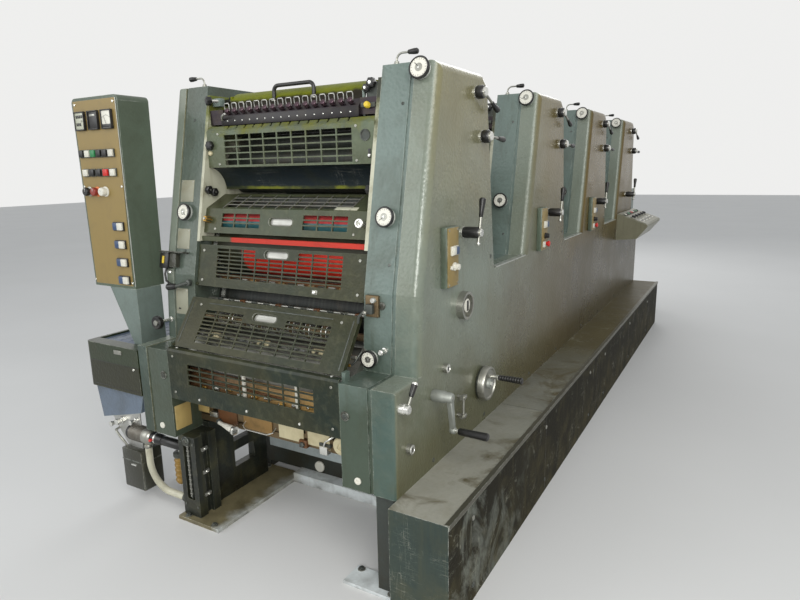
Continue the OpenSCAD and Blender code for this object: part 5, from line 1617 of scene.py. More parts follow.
class PRESS_OT_fittings(Operator):
    """Adds the small fittings of the towers' fronts and of the operator's side"""

    bl_idname = "press.fittings"
    bl_label = "Add the towers' fittings"

    def execute(self, context):
        self.buttons()
        self.plates()
        self.switch()
        self.side_parts()
        self.cover_screws(context.scene.press_sizes.screw_radius)
        return {"FINISHED"}

    def buttons(self):
        """Bolt caps, a bright stud, a hook and knobs round the delivery's mouth, and one by the duct."""
        maker = Maker("front_buttons")
        for x, z in ((0.432, 0.626), (-0.442, 0.630)):
            maker.turned(mm((0, 16.5), (3, 16.5), (4.5, 14.5), (3.5, 12.5), (3.5, 0)), "pump",
                         (x, CHEEK_Y, z), FACE, 30)
            maker.turned(mm((3, 9.5), (5.5, 8.8), (6.5, 6), (6.5, 0)), "dark_cast", (x, CHEEK_Y, z), FACE,
                         24)
        for x, z in ((0.474, 0.406), (-0.480, 0.410)):
            maker.turned(mm((0, 12.5), (4, 12.5), (6, 10), (6, 5.5), (4, 5), (4, 0)), "white_cap",
                         (x, CHEEK_Y, z), FACE, 26)
        y = unit_y(0)
        maker.turned(mm((0, 13.5), (4, 13.5), (6, 11), (6.5, 0)), "pump",
                     (0.481, y + front_at(0.965), 0.965), FACE, 26)
        at = Vector((0.496, y + front_at(0.815), 0.815))
        maker.turned(mm((0, 11), (6, 11), (7, 7.5), (22, 7.5), (24, 10), (32, 10), (35, 7), (35, 0)),
                     "chrome", at, FACE, 24)
        maker.tube([(0.404, y - 0.016, 0.800), (0.400, y - 0.034, 0.786), (0.392, y - 0.044, 0.768),
                    (0.380, y - 0.046, 0.756), (0.366, y - 0.042, 0.750)], 0.0038, "dark_cast", 10)
        maker.turned(mm((0, 8.5), (12, 9.5), (14, 6), (14, 0)), "brass", (0.368, y - 0.038, 0.750), FACE, 18)
        maker.turned(head(10, 5, 6, 6), "steel", (0.412, y - 0.014, 0.802), FACE, 18)
        at = Vector((-0.556, y + front_at(0.812), 0.812))
        maker.turned(mm((0, 12), (4, 12), (5, 6.8), (70, 6.8)), "chrome", at, FACE, 18)
        maker.turned(mm((58, 10), (60, 25), (64, 27.5), (78, 27.5), (81, 24), (79, 15), (79, 0)), "black",
                     at, FACE, 40, 20, 0.02)
        maker.turned(mm((77, 12.5), (83, 11), (84, 6), (84, 0)), "steel", at, FACE, 22)
        maker.box((-0.396, -0.176, 1.668), (-0.352, -0.148, 1.700), "pale_enamel", 0.004)
        at = Vector((-0.366, -0.178, 1.688))
        way = Vector((-0.42, -0.90, 0.0)).normalized()
        maker.turned(mm((-10, 6), (26, 6)), "chrome", at, way, 14)
        maker.turned(mm((22, 10), (26, 16), (40, 17.2), (45, 12), (45, 0)), "black", at, way, 30, 7, 0.09)
        maker.done(slot="fitting_steel")

    def plates(self):
        """Bare plates on the drive side tower's front."""
        maker = Maker("tower_plates")
        for left, right, low, high in ((-0.522, -0.448, 1.296, 1.384), (-0.524, -0.452, 1.108, 1.190),
                                       (-0.522, -0.452, 0.840, 0.948)):
            maker.within = front_sheet(low, high)
            tall = high - low
            maker.box((left, -0.0016, 0), (right, 0.0006, tall), "bare_plate", 0.0012)
            for x in (left + 0.007, right - 0.007):
                for z in (0.007, tall - 0.007):
                    maker.screw((x, -0.0014, z), FACE, 0.0028)
        maker.within = front_sheet(0.840, 0.948)
        maker.box((-0.506, -0.0030, 0.020), (-0.494, -0.0012, 0.026), "black", 0.0004)
        maker.done(slot="panel_beige")

    def switch(self):
        """Black switch with a yellow light, a stud and a short lead, under a narrow ledge."""
        maker = Maker("tower_switch", within=front_sheet(1.020, 1.092))
        maker.box((-0.592, -0.034, 0.070), (-0.448, 0.001, 0.076), "pump", 0.0015)
        maker.box((-0.590, -0.030, 0.004), (-0.538, 0.001, 0.069), "black", 0.005)
        maker.box((-0.570, -0.034, 0.024), (-0.560, -0.028, 0.054), "yellow", 0.0016)
        maker.box((-0.537, -0.024, 0.010), (-0.500, 0.001, 0.068), "pump", 0.003)
        maker.turned(head(8, 10, 13, 5), "chrome", (-0.546, 0.0, -0.010), FACE, 18)
        maker.tube([(-0.566, -0.010, 0.006), (-0.566, -0.016, -0.020), (-0.560, -0.012, -0.048),
                    (-0.550, 0.002, -0.060)], 0.0042, "black", 10)
        maker.done(slot="black_grip")

    def side_parts(self):
        """What the sight ring, the locks and the clamp screw carry."""
        maker = Maker("operator_side_parts")
        y, z = 0.001, 0.914
        maker.turned(mm((19.5, 25.5), (21.5, 25), (22.5, 21.5), (22.5, 0)), "white_cap", (COVER_X, y, z),
                     OUT, 36)
        maker.box((COVER_X + 0.0215, y - 0.006, z - 0.019), (COVER_X + 0.0255, y + 0.006, z + 0.019),
                  "black", 0.002)
        for turn in (30, 150, 270):
            a = math.radians(turn)
            maker.screw((COVER_X + 0.026, y + 0.047 * math.cos(a), z + 0.047 * math.sin(a)), OUT, 0.0034)
        for dy, z in ((0.180, 0.715), (-0.090, 0.520)):
            at = (COVER_X + 0.0155, unit_y(0) + dy, z)
            maker.turned(mm((0, 15.5), (1.8, 15), (2.5, 12), (1.2, 11.5), (1.2, 0)), "chrome", at, OUT, 28)
            maker.box((at[0] + 0.0008, at[1] - 0.0012, z - 0.007),
                      (at[0] + 0.0026, at[1] + 0.0012, z + 0.007), "black", 0.0003)
        y = unit_y(0) + 0.292
        for z in (0.496, 0.570):
            maker.turned(mm((25, 9.5), (33, 9.5), (34, 8), (34, 0)), "steel", (COVER_X, y, z), OUT, 6)
            for dy in (-0.014, 0.014):
                maker.screw((COVER_X + 0.030, y + dy, z), OUT, 0.0036)
        maker.done(slot="fitting_steel")

    def cover_screws(self, radius):
        """Screws that hold both covers, along the skirt, up the towers' rear and in their fronts."""
        maker = Maker("cover_screws")
        for unit in range(UNITS):
            for dy, z in ((0.090, 0.400), (0.560, 0.400), (0.610, 1.060), (0.930, 0.960)):
                for side, x in ((1, COVER_X), (-1, DRIVE_X)):
                    if side > 0 and dy > 0.9:
                        continue
                    at = (x, unit_y(unit) + dy, z)
                    maker.turned([(-0.001, radius), (0.0006, radius), (0.0012, radius * 0.86),
                                  (0.0012, radius * 0.42), (-0.0006, radius * 0.36), (-0.0006, 0)],
                                 "dark_cast", at, (side, 0, 0), 18)
        for unit in range(UNITS):
            for z in (1.10, 1.62):
                y = unit_y(unit) + front_at(z)
                for x in (-0.472, 0.500):
                    maker.screw((x, y, z), (0, -math.cos(TOWER_TILT), math.sin(TOWER_TILT)), radius * 0.62,
                                "dark_cast", 0.4)
        maker.done(slot="fitting_steel")


class PRESS_OT_delivery(Operator):
    """Adds the delivery's tray, window plates, levers, grippers and small metal parts"""

    bl_idname = "press.delivery"
    bl_label = "Add the delivery's parts"

    beam_y = BOX["delivery_bars"][0].y
    sheet = ((-0.452, 0.560), (-0.400, 0.716))
    posts = (-0.041, 0.208)
    post_y = -0.468
    windows = ((-0.248, 0.052, "rust"), (-0.086, 0.074, "rust_light"), (0.082, 0.060, "cream"),
               (0.212, 0.050, "cream"))
    wheel_shaft = (-0.300, 0.835)
    front_beam = 0.030

    def execute(self, context):
        self.tray()
        self.beam()
        self.grippers()
        self.hood()
        self.column()
        return {"FINISHED"}

    def tray(self):
        """Warm sheet behind the hood with small blocks and pipes, and the pale posts that stay the hood."""
        maker = Maker("delivery_tray", within=on_sheet(*self.sheet))
        maker.box((-0.409, 0.0, -0.002), (0.409, 0.004, 0.164), "tray_sheet", 0.001)
        for k in range(9):
            x = -0.300 + 0.066 * k
            z = 0.022 + 0.006 * (k % 3)
            maker.box((x, -0.008, z), (x + 0.036, 0.001, z + 0.012), "steel" if k % 2 else "brass", 0.002)
            maker.screw((x + 0.010, -0.008, z + 0.006), FACE, 0.0042, "chrome")
        for z in (0.062, 0.094, 0.126):
            maker.tube([(-0.400, -0.006, z), (0.120, -0.006, z - 0.012)], 0.0042,
                       "rust" if z < 0.1 else "brass", 10)
        maker.within = Matrix.Identity(4)
        for x in self.posts:
            maker.turned(mm((0, 7.5), (188, 7.5)), "white_cap", (x, self.post_y, 0.552), UP, 16)
            for z in (0.590, 0.640, 0.690):
                maker.turned(mm((0, 9.5), (6, 9.5)), "steel", (x, self.post_y, z), UP, 16)
        maker.done(slot="delivery_metal")

    def beam(self):
        """Plates in the beam's windows, its lever, bail, clamp and knob, and the floor beam's plate."""
        maker = Maker("delivery_beam_parts")
        y = self.beam_y
        for x, half, finish in self.windows:
            maker.box((x - half, y - 0.0040, 0.412), (x + half, y + 0.0006, 0.484), finish, 0.001)
            for side in (-1, 1):
                maker.screw((x + side * (half - 0.007), y - 0.0040, 0.477), FACE, 0.0036)
        for x in (-0.318, -0.178, 0.005, 0.152, 0.278):
            maker.screw((x, y, 0.497), FACE, 0.0055)
        at = Vector((-0.292, y - 0.002, 0.413))
        maker.turned(mm((-4, 13.5), (12, 13.5), (15, 10), (15, 0)), "dark_cast", at, FACE, 24)
        way = Vector((0.97, -0.18, -0.05)).normalized()
        maker.turned(mm((4, 7), (36, 9), (84, 14.5), (102, 15), (110, 11), (110, 0)), "white_cap",
                     at + Vector((0, -0.012, 0)), way, 22)
        maker.turned(mm((102, 11), (105, 19), (113, 20), (118, 16.5), (115, 11), (115, 0)), "chrome",
                     at + Vector((0, -0.012, 0)), way, 26)
        bail = [(-0.150, y + 0.002, 0.444), (-0.150, y - 0.018, 0.430), (-0.130, y - 0.026, 0.420),
                (-0.020, y - 0.026, 0.420), (0.004, y - 0.018, 0.430), (0.004, y + 0.002, 0.444)]
        maker.tube(bail, 0.0028, "chrome", 8)
        maker.box((0.126, y - 0.014, 0.396), (0.162, y + 0.006, 0.428), "rust", 0.004)
        maker.turned(head(11, 8, 11, 7), "dark_cast", (0.144, y - 0.013, 0.412), FACE, 6)
        maker.box((0.226, y - 0.020, 0.394), (0.262, y + 0.006, 0.426), "chrome", 0.003)
        maker.box((0.218, y - 0.010, 0.420), (0.270, y + 0.004, 0.434), "dark_cast", 0.002)
        maker.tube([(0.244, y - 0.016, 0.424), (0.256, y - 0.022, 0.448), (0.286, y - 0.018, 0.470),
                    (0.306, y + 0.002, 0.486)], 0.0036, "chrome", 8)
        maker.turned(mm((-6, 30), (6, 34), (12, 34), (17, 29), (18, 12), (14, 10), (14, 0)), "cream",
                     (0.318, y, 0.440), FACE, 32)
        maker.box((-0.409, y - 0.010, 0.440), (-0.348, y - 0.0005, 0.512), "ochre", 0.003)
        maker.box((-0.4105, -0.492, 0.398), (-0.4050, -0.414, 0.500), "ochre", 0.002)
        maker.turned(head(6, 2, 3, 4), "black", (-0.384, y - 0.009, 0.490), FACE, 16)
        maker.box((-0.340, y - 0.014, 0.430), (-0.296, y + 0.001, 0.452), "steel", 0.003)
        maker.done(slot="delivery_metal")
        maker = Maker("front_beam_parts")
        maker.turned(mm((-1, 26), (6, 26), (10, 22), (11, 10), (11, 0)), "white_cap",
                     (-0.104, self.front_beam, 0.076), FACE, 30)
        maker.box((-0.400, self.front_beam - 0.004, 0.120), (0.396, self.front_beam + 0.001, 0.226),
                  "white_enamel", 0.0015)
        for k in range(6):
            maker.screw((-0.340 + 0.136 * k, self.front_beam - 0.004, 0.201), FACE, 0.0058)
        maker.done(slot="fitting_steel")

    def grippers(self):
        """Rods with small grippers behind the guards, bright rims on the shaft's wheels, and a wash bar."""
        maker = Maker("delivery_grippers")
        end = FRAME_IN
        bright, dark = ("silver", "cream", "steel"), ("dark_cast", "pump", "rust")
        rows = ((-0.392, 0.792, 9, 0.027, bright), (-0.352, 0.776, 11, 0.022, bright),
                (-0.262, 0.902, 12, 0.013, dark))
        for y, z, count, half, shades in rows:
            maker.turned([(0, 0.006), (2 * end, 0.006)], "steel", (-end, y, z), OUT, 12)
            for k in range(count):
                x = (k - (count - 1) / 2) * 2 * 0.34 / (count - 1)
                maker.box((x - half, y - 0.010, z - 0.008), (x + half, y + 0.008, z + 0.007), shades[k % 3],
                          0.002)
                maker.box((x - 0.005, y - 0.022, z - 0.003), (x + 0.005, y - 0.006, z + 0.002), "dark_cast",
                          0.001)
        y, z = self.wheel_shaft
        for k in range(9):
            x = (k - 4) * 0.076
            for dx in (-0.0125, 0.0085):
                maker.turned(mm((0, 30), (0.5, 31.8), (3.5, 31.8), (4, 30)), "chrome", (x + dx, y, z), OUT,
                             28)
        maker.box((-end, -0.246, 0.966), (end, -0.222, 1.002), "rust", 0.003)
        for k in range(16):
            x = (k - 7.5) * 0.048
            maker.box((x - 0.016, -0.252, 0.972), (x + 0.016, -0.245, 0.992),
                      ("steel", "rust_light", "pump")[k % 3], 0.002)
        maker.done(slot="delivery_metal")

    def hood(self):
        maker = Maker("hood_screws")
        for x in (-0.248, -0.005, 0.240):
            maker.screw((x, CHEEK_Y, 0.560), FACE, 0.0052, "chrome", 0.8)
        for x in (-0.380, 0.380):
            for z in (0.570, 0.716):
                maker.screw((x, CHEEK_Y, z), FACE, 0.0050)
        for x in (-0.370, 0.372):
            maker.screw((x, CHEEK_Y + 0.017, LEDGE_Z + 0.012), UP, 0.0055, "chrome")
        maker.done(slot="guard_paint")

    def column(self):
        """Cap, bolt heads, a rail and a greasy chain on the lift column."""
        low, high = BOX["lift_column"]
        maker = Maker("lift_column_parts")
        x = low.x + 0.047
        maker.turned(mm((-2, 21), (5, 21), (8, 18), (6, 14), (6, 0)), "dark_cast", (x, low.y, 0.350), FACE,
                     28)
        maker.turned(mm((5, 10), (10, 9), (11, 0)), "pump", (x, low.y, 0.350), FACE, 20)
        for z in (0.062, 0.340):
            for dx in (0.012, 0.082):
                maker.screw((low.x + dx, low.y, z), FACE, 0.0058, "dark_cast")
        maker.box((x - 0.004, low.y + 0.004, 0.092), (x + 0.004, low.y + 0.016, 0.328), "dark_cast", 0.001)
        for k in range(22):
            z = 0.100 + 0.0105 * k
            wide = 0.0065 if k % 2 else 0.0040
            maker.box((x - wide, low.y + 0.001, z), (x + wide, low.y + 0.007, z + 0.0085), "steel", 0.0015)
        rail = high.x
        for z in (0.100, 0.200, 0.300):
            maker.box((rail - 0.004, low.y + 0.030, z), (rail + 0.005, low.y + 0.062, z + 0.016), "steel",
                      0.001)
            maker.screw((rail + 0.005, low.y + 0.046, z + 0.008), OUT, 0.005, "chrome")
        maker.done(slot="column_paint")


class PRESS_OT_pump(Operator):
    """Makes the pump's box, motor, bracket and fittings"""

    bl_idname = "press.pump"
    bl_label = "Add the pump"

    low = (-0.800, -0.481, 0.052)
    high = (-0.668, -0.377, 0.236)
    motor = (HOSE_OUTLET[1], 0.310)
    hanger = -0.450

    def execute(self, context):
        maker = Maker("pump_dressed")
        self.case(maker)
        self.drive(maker)
        maker.done("pump_unit")
        self.fittings()
        return {"FINISHED"}

    def case(self, maker):
        """Dark box with light edges, its hanger plate and its round cap."""
        low, high = self.low, self.high
        maker.box(low, high, "pump", 0.006)
        seam = low[2] + 0.130
        maker.box((low[0] - 0.0006, low[1] - 0.0008, seam),
                  (high[0] + 0.0006, low[1] + 0.003, seam + 0.0025), "dark_cast", 0.0006)
        maker.box((high[0] - 0.003, low[1] + 0.002, seam),
                  (high[0] + 0.0008, high[1] - 0.002, seam + 0.0035), "trim", 0.0006)
        maker.box((high[0] - 0.0035, low[1] - 0.0010, low[2] + 0.003),
                  (high[0] + 0.0010, low[1] + 0.0035, high[2] - 0.003), "trim", 0.001)
        maker.box((low[0] + 0.060, low[1] - 0.004, low[2] + 0.112), (low[0] + 0.092, low[1], low[2] + 0.119),
                  "chrome", 0.001)
        maker.turned(mm((-1, 14.5), (8, 14.5), (11, 12), (11, 0)), "black",
                     (high[0] - 0.030, -0.420, high[2]), UP, 24)
        left, right, out = low[0] + 0.008, high[0] - 0.024, low[0] - 0.084
        # The plate's top follows the tank's sloping bottom
        tank, slope = (-0.894, 0.362), 0.062 / 0.259
        right_top, left_top = [tank[1] + slope * (x - tank[0]) for x in (right, out)]
        outline = [(left, high[2] - 0.001), (right, high[2] - 0.001), (right, right_top), (out, left_top)]
        maker.prism(outline, 0.006, "silver", 0.001, Matrix.Translation((0, self.hanger, 0)))

    def drive(self, maker):
        """Ribbed motor with a black end, the black tube beside it, and the hose's outlet."""
        y, z = self.motor
        at = (self.low[0] + 0.048, y, z)
        maker.turned(mm((0, 26), (2, 33), (12, 35.5), (16, 35.5), (17, 34.5)), "black", at, OUT, 40)
        ribs = [(0.017, 0.0345)]
        for k in range(7):
            far = 0.022 + 0.009 * k
            ribs += [(far, 0.0345), (far + 0.001, 0.0358), (far + 0.004, 0.0358), (far + 0.005, 0.0345)]
        maker.turned(ribs + [(0.100, 0.0345)], "motor", at, OUT, 40)
        maker.turned(mm((100, 34.5), (104, 35.8), (130, 35.8), (138, 33), (144, 26), (144, 0)), "steel", at,
                     OUT, 40)
        maker.turned(mm((143, 20), (146, 23.5), (196, 23.5), (202, 21), (208, 21), (208, 0)), "black", at,
                     OUT, 32)
        maker.turned(mm((164, 24), (172, 24)), "chrome", at, OUT, 32)
        maker.turned(mm((-2, 11.8), (28, 11.8)), "steel", HOSE_OUTLET, UP, 20)

    def fittings(self):
        """Valves and elbows on the hanger plate, the light, and the ringed filter jar under the frame."""
        maker = Maker("pump_fittings")
        y = self.hanger
        z = self.high[2]
        for x, up, size in ((-0.860, 0.094, 0.013), (-0.818, 0.110, 0.016), (-0.722, 0.126, 0.012)):
            maker.turned([(0, size), (0.006, size), (0.008, size * 0.7), (0.022, size * 0.7),
                          (0.024, size * 0.9), (0.030, size * 0.9), (0.032, size * 0.5), (0.032, 0)],
                         "chrome", (x, y, z + up), FACE, 6 if size > 0.015 else 22)
        maker.tube([(-0.844, y + 0.002, z + 0.070), (-0.844, y - 0.018, z + 0.066),
                    (-0.826, y - 0.024, z + 0.058), (-0.806, y - 0.024, z + 0.040),
                    (-0.790, y - 0.018, z + 0.018), (-0.786, y - 0.010, z - 0.004)], 0.0052, "steel", 12)
        maker.box((-0.776, -0.440, z - 0.001), (-0.742, -0.400, z + 0.022), "silver", 0.003)
        maker.turned(head(6.5, 8, 11, 4), "red_button",
                     (self.high[0] + 0.072, self.motor[0] - 0.0225, self.motor[1]), FACE, 16)
        maker.turned(mm((0, 18.5), (4, 20.5), (110, 20.5), (114.5, 17), (114.5, 0)), "black",
                     (-0.545, *self.motor), OUT, 28)
        jar = (-0.486, -0.426)
        maker.tube([(*jar, 0.256), (jar[0], jar[1], 0.276), (jar[0], self.motor[0], 0.300)], 0.008, "chrome",
                   12)
        maker.turned(mm((0, 26), (4, 28), (18, 28), (21, 24)), "dark_cast", (*jar, 0.240), UP, 30)
        rings = [(0.0, 0.0), (0.0, 0.019), (0.006, 0.0235)]
        for k in range(5):
            far = 0.010 + 0.022 * k
            rings += [(far, 0.0235), (far + 0.003, 0.0262), (far + 0.010, 0.0262), (far + 0.013, 0.0235)]
        maker.turned(rings + [(0.122, 0.0235)], "amber", (*jar, 0.120), UP, 32)
        maker.done(slot="pump_metal")
        maker = Maker("hose_collars")
        maker.turned(mm((0, 16.5), (3, 17.8), (11, 17.8), (14, 16.5)), "steel",
                     (*HOSE_OUTLET[:2], HOSE_OUTLET[2] - 0.016), UP, 28)
        maker.turned(mm((0, 16.5), (6, 18.5), (14, 18.5), (14.5, 0)), "dark_cast",
                     (HOSE_END[0] - 0.0145, *HOSE_END[1:]), OUT, 28)
        maker.done(slot="pump_metal")


class PRESS_OT_housing(Operator):
    """Adds the blue tray, the seams and the latches of the housing on the drive side"""

    bl_idname = "press.housing"
    bl_label = "Add the housing's parts"

    def execute(self, context):
        low, high = BOX["drive_housing"]
        maker = Maker("housing_tray")
        maker.box((low.x + 0.015, low.y + 0.061, high.z - 0.0102),
                  (high.x - 0.031, high.y - 0.015, high.z - 0.0080), "tray", 0.0008)
        for k in range(5):
            x = low.x + 0.060 + 0.050 * k
            maker.box((x, low.y + 0.090, high.z - 0.0082), (x + 0.006, high.y - 0.060, high.z - 0.0070),
                      "tray", 0.0005)
        maker.done(slot="housing_paint")
        maker = Maker("housing_seams")
        for z in (HOUSING_SEAM, LOW_SEAM):
            maker.box((low.x + 0.030, low.y - 0.0004, z - 0.0010),
                      (high.x - 0.002, low.y + 0.001, z + 0.0010), "black", 0.0002)
        maker.box((-0.742, low.y - 0.004, 0.676), (-0.694, low.y + 0.001, 0.694), "steel", 0.0012)
        for x in (-0.735, -0.701):
            maker.screw((x, low.y - 0.004, 0.685), FACE, 0.003)
        maker.screw((-0.628, low.y, 0.622), FACE, 0.0055, "chrome")
        for y in (low.y + 0.110, high.y - 0.110):
            maker.box((low.x - 0.0035, y - 0.020, 0.560), (low.x + 0.001, y + 0.020, 0.590), "dark_cast",
                      0.001)
        maker.done(slot="housing_paint")
        return {"FINISHED"}


class PRESS_OT_step(Operator):
    """Adds the step's screws, joints and foot bolts"""

    bl_idname = "press.step"
    bl_label = "Add the step's parts"

    def execute(self, context):
        low, high = BOX["step_platform"]
        maker = Maker("step_screws")
        for y in (-0.371, 0.425, 1.237, 1.618, 2.440, 3.240):
            maker.screw((high.x, y, 0.306), OUT, 0.0085, "steel", 0.4)
            maker.screw((high.x, y, 0.060), OUT, 0.0085, "dark_cast", 0.4)
        for y in (0.430, 1.425, 2.420, 3.410):
            maker.box((low.x + 0.006, y - 0.0010, high.z - 0.0005),
                      (high.x - 0.016, y + 0.0010, high.z + 0.0003), "black", 0.0002)
            maker.box((high.x - 0.0005, y - 0.0010, 0.004), (high.x + 0.0003, y + 0.0010, high.z - 0.014),
                      "black", 0.0002)
        maker.done(slot="step_metal")
        maker = Maker("foot_bolts")
        for x, y, z in ((-0.400, -0.482, 0.016), (-0.250, -0.482, 0.016), (-0.400, 0.008, 0.016),
                        (0.586, -0.488, 0.012), (0.586, -0.424, 0.012), (0.424, -0.424, 0.012)):
            maker.turned(mm((0, 14), (2.5, 14), (2.5, 0)), "steel", (x, y, z), UP, 24)
            maker.turned(mm((2, 9.5), (9, 9.5), (10, 8), (10, 0)), "dark_cast", (x, y, z), UP, 6)
        maker.done(slot="floor_paint")
        return {"FINISHED"}


class PRESS_OT_rollers(Operator):
    """Adds the cylinders' bearer rings and plate clamps"""

    bl_idname = "press.rollers"
    bl_label = "Add the cylinders' parts"

    plate = (0.205, 1.100)
    blanket = (0.225, 0.885)
    radius = 0.105

    def execute(self, context):
        maker = Maker("cylinder_bearers")
        for unit in range(UNITS):
            for dy, z in (self.plate, self.blanket):
                for side in (-1, 1):
                    start = INNER_X - 0.020 if side > 0 else -INNER_X
                    maker.turned([(0, self.radius), (0.0005, self.radius + 0.0014),
                                  (0.0195, self.radius + 0.0014), (0.020, self.radius)], "chrome",
                                 (start, unit_y(unit) + dy, z), OUT, 64)
        maker.done(slot="drum_steel")
        maker = Maker("plate_clamps")
        for unit in range(UNITS):
            for (dy, z), turn in ((self.plate, -70), (self.blanket, 15)):
                a = math.radians(turn)
                turned = (Matrix.Translation((0, unit_y(unit) + dy, z)) @ Matrix.Rotation(a, 4, "X")
                          @ Matrix.Translation((0, 0, self.radius)))
                maker.box((-0.340, -0.012, -0.004), (0.340, 0.012, 0.0016), "steel", 0.001, turned)
                for k in range(12):
                    x = (k - 5.5) * 0.056
                    maker.screw(tuple(turned @ Vector((x, 0, 0.0014))), tuple(turned.to_3x3() @ Vector(UP)),
                                0.0045)
        maker.done(slot="drum_steel")
        return {"FINISHED"}


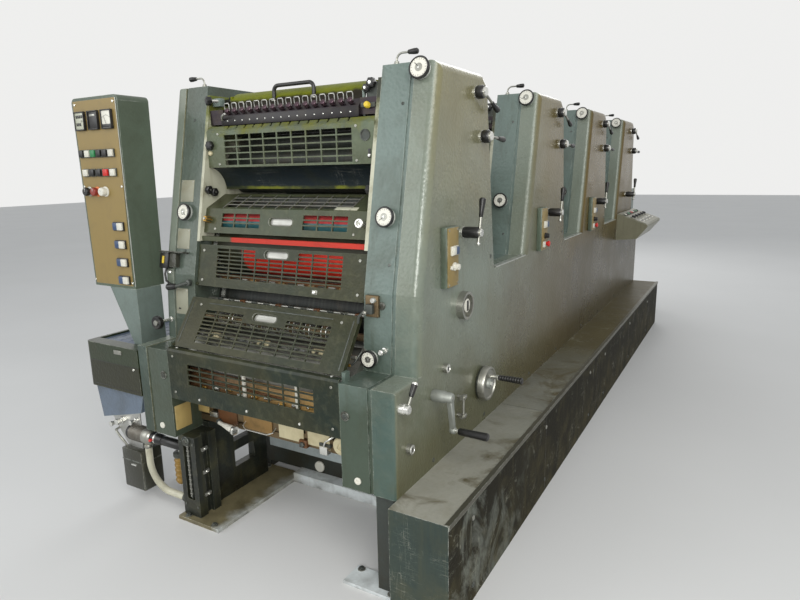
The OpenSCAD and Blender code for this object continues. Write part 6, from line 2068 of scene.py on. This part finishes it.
class PRESS_OT_feeder(Operator):
    """Adds the feeder's desk controls, suckers, tapes, wheels, planks, chains and bolts"""

    bl_idname = "press.feeder"
    bl_label = "Add the feeder's parts"

    def execute(self, context):
        self.desk()
        self.suckers()
        self.board()
        self.frame_parts()
        return {"FINISHED"}

    def desk(self):
        """Buttons, dials and a black knob on the desk's sloping top."""
        low, high = BOX["feeder_desk"]
        top = Vector((low.x + 0.010, 0, high.z))
        run = Vector((0.204, 0, -0.072))
        down = run.normalized()
        up = Vector((-down.z, 0, down.x))
        maker = Maker("feeder_desk_controls")
        maker.within = Matrix.Translation(top) @ Matrix((down, (0, 1, 0), up)).transposed().to_4x4()
        start = low.y + 0.040
        for k in range(9):
            y = start + 0.064 * k
            maker.box((0.030, y, 0), (0.054, y + 0.030, 0.006), "dark_cast", 0.001)
            maker.box((0.032, y + 0.002, 0.004), (0.052, y + 0.028, 0.012),
                      ("white_cap", "black", "green_button", "black", "red_button")[k % 5], 0.002)
        for k in range(5):
            y = start + 0.030 + 0.118 * k
            maker.turned(head(24, 4, 6, 21), "steel", (0.104, y, 0), UP, 32)
            maker.turned(mm((5, 15), (18, 14), (20, 11), (20, 0)), "black", (0.104, y, 0), UP, 30, 10, 0.04)
        for k in range(4):
            y = start + 0.020 + 0.140 * k
            maker.box((0.150, y, 0), (0.186, y + 0.090, 0.0025), "white_cap", 0.001)
            maker.box((0.160, y + 0.010, 0.002), (0.176, y + 0.080, 0.0035), "black", 0.0005)
        maker.within = Matrix.Identity(4)
        for y in (low.y + 0.030, high.y - 0.030):
            maker.screw((high.x, y, 0.959), OUT, 0.0045)
        maker.done(slot="housing_paint")

    def suckers(self):
        """Rubber suckers, knobs and screwed cap of the suction head, and the collars on its rods."""
        low, high = BOX["suction_head"]
        y = low.y + 0.050
        maker = Maker("suction_head_parts")
        middle = (low.y + high.y) / 2
        for x in (-0.110, -0.040, 0.040, 0.110):
            at = (x, y, low.z)
            maker.turned(mm((0, 16.5), (2, 17.5), (8, 14.5), (10, 15), (14, 13.2), (20, 13.2)), "roller", at,
                         UP, 26)
            maker.turned(mm((26, 14.5), (34, 14.5)), "brass", at, UP, 26)
        top = 1.130
        for x in (-0.100, 0.100):
            maker.turned(mm((-1, 20), (10, 20), (13, 15), (24, 14), (26, 10), (26, 0)), "black",
                         (x, middle, top), UP, 30, 9, 0.04)
        maker.box((-0.055, middle - 0.045, top - 0.001), (0.055, middle + 0.045, top + 0.008), "pump", 0.002)
        for x in (-0.046, 0.046):
            for dy in (-0.036, 0.036):
                maker.screw((x, middle + dy, top + 0.008), UP, 0.0046)
        for x in (-0.230, 0.230):
            for rod_y in (END_Y + 0.470, END_Y + 0.600):
                maker.turned(mm((-12, 18.5), (-10, 20.5), (10, 20.5), (12, 18.5)), "steel",
                             (x, rod_y, 1.060), OUT, 30)
        maker.done(slot="head_metal")

    def board(self):
        """Transport tapes and running wheels on the feed board, planks on the pile board."""
        maker = Maker("feed_board_parts")
        foot = (END_Y - 0.050, 0.824)
        top = (END_Y + 0.250, 0.892)
        length = math.hypot(top[0] - foot[0], top[1] - foot[1])
        tilt = math.atan2(top[1] - foot[1], top[0] - foot[0])
        shaft = length * 0.62
        maker.within = Matrix.Translation((0, *foot)) @ Matrix.Rotation(tilt, 4, "X")
        for x in (-0.300, -0.180, -0.060, 0.060, 0.180, 0.300):
            maker.box((x - 0.018, 0.006, -0.0005), (x + 0.018, length - 0.006, 0.0018), "tape", 0.0005)
        maker.turned([(0, 0.007), (2 * FRAME_IN, 0.007)], "steel", (-FRAME_IN, shaft, 0.046), OUT, 14)
        for x in (-0.300, -0.060, 0.060, 0.300):
            maker.turned(mm((-6, 17), (-5, 22), (5, 22), (6, 17)), "roller", (x, shaft, 0.0245), OUT, 28)
            maker.box((x - 0.010, shaft - 0.006, 0.026), (x - 0.006, shaft + 0.006, 0.052), "steel", 0.001)
        maker.done(slot="board_metal")
        low, high = BOX["feeder_boards"]
        maker = Maker("pile_board_planks")
        y0, y1, z = END_Y + 0.290, high.y, low.z + 0.036
        for k in range(10):
            x = -0.400 + 0.080 * k
            maker.box((x + 0.002, y0 + 0.004, z - 0.001), (x + 0.078, y1 - 0.004, z + 0.004), "plank",
                      0.0015)
        maker.done(slot="board_metal")

    def frame_parts(self):
        """Bolts on the feeder's sides, its lift chains and the stop bar's pads."""
        low, high = BOX["feeder_frame"]
        maker = Maker("feeder_frame_parts")
        for side, x in ((-1, low.x), (1, high.x)):
            for dy, z in ((0.060, 0.060), (0.060, 0.760), (0.400, 1.120), (0.770, 1.120), (0.770, 0.640),
                          (0.770, 0.060)):
                maker.turned(mm((0, 15), (2, 15), (2, 0)), "steel", (x, END_Y + dy, z), (side, 0, 0), 24)
                maker.turned(mm((1.5, 10), (8, 10), (9, 8.5), (9, 0)), "dark_cast", (x, END_Y + dy, z),
                             (side, 0, 0), 6)
            inside = side * (FRAME_IN - 0.0065)
            for dy in (0.340, 0.700):
                for k in range(31):
                    z = 0.340 + 0.024 * k
                    wide = 0.0062 if k % 2 else 0.0042
                    maker.box((inside - 0.007, END_Y + dy - wide, z),
                              (inside + 0.007, END_Y + dy + wide, z + 0.022), "steel", 0.002)
        for x in (-0.250, 0.0, 0.250):
            maker.box((x - 0.030, high.y - 0.094, high.z - 0.074),
                      (x + 0.030, high.y - 0.089, high.z - 0.030), "black", 0.002)
        maker.done(slot="frame_paint")


OPERATORS = [PRESS_OT_stage, PRESS_OT_paint, PRESS_OT_hose, PRESS_OT_levers, PRESS_OT_dials,
             PRESS_OT_ducts, PRESS_OT_guards, PRESS_OT_console, PRESS_OT_pods, PRESS_OT_fittings,
             PRESS_OT_delivery, PRESS_OT_pump, PRESS_OT_housing, PRESS_OT_step, PRESS_OT_rollers,
             PRESS_OT_feeder]


class PRESS_PT_panel(Panel):
    """Lists the press's operators, sizes and colours"""

    bl_label = "Offset press"
    bl_idname = "PRESS_PT_panel"
    bl_space_type = "VIEW_3D"
    bl_region_type = "UI"
    bl_category = "Press"

    def draw(self, context):
        layout = self.layout
        for group in (context.scene.press_sizes, context.scene.press_colours):
            for name in group.__annotations__:
                layout.prop(group, name)
        for operator in OPERATORS:
            layout.operator(operator.bl_idname)


CLASSES = [PressSizes, PressColours, *OPERATORS, PRESS_PT_panel]


def register():
    for cls in CLASSES:
        bpy.utils.register_class(cls)
    bpy.types.Scene.press_sizes = PointerProperty(type=PressSizes)
    bpy.types.Scene.press_colours = PointerProperty(type=PressColours)


def unregister():
    del bpy.types.Scene.press_colours
    del bpy.types.Scene.press_sizes
    for cls in reversed(CLASSES):
        bpy.utils.unregister_class(cls)


def main():
    register()
    for operator in OPERATORS:
        space, name = operator.bl_idname.split(".")
        getattr(getattr(bpy.ops, space), name)()


if __name__ == "__main__":
    main()
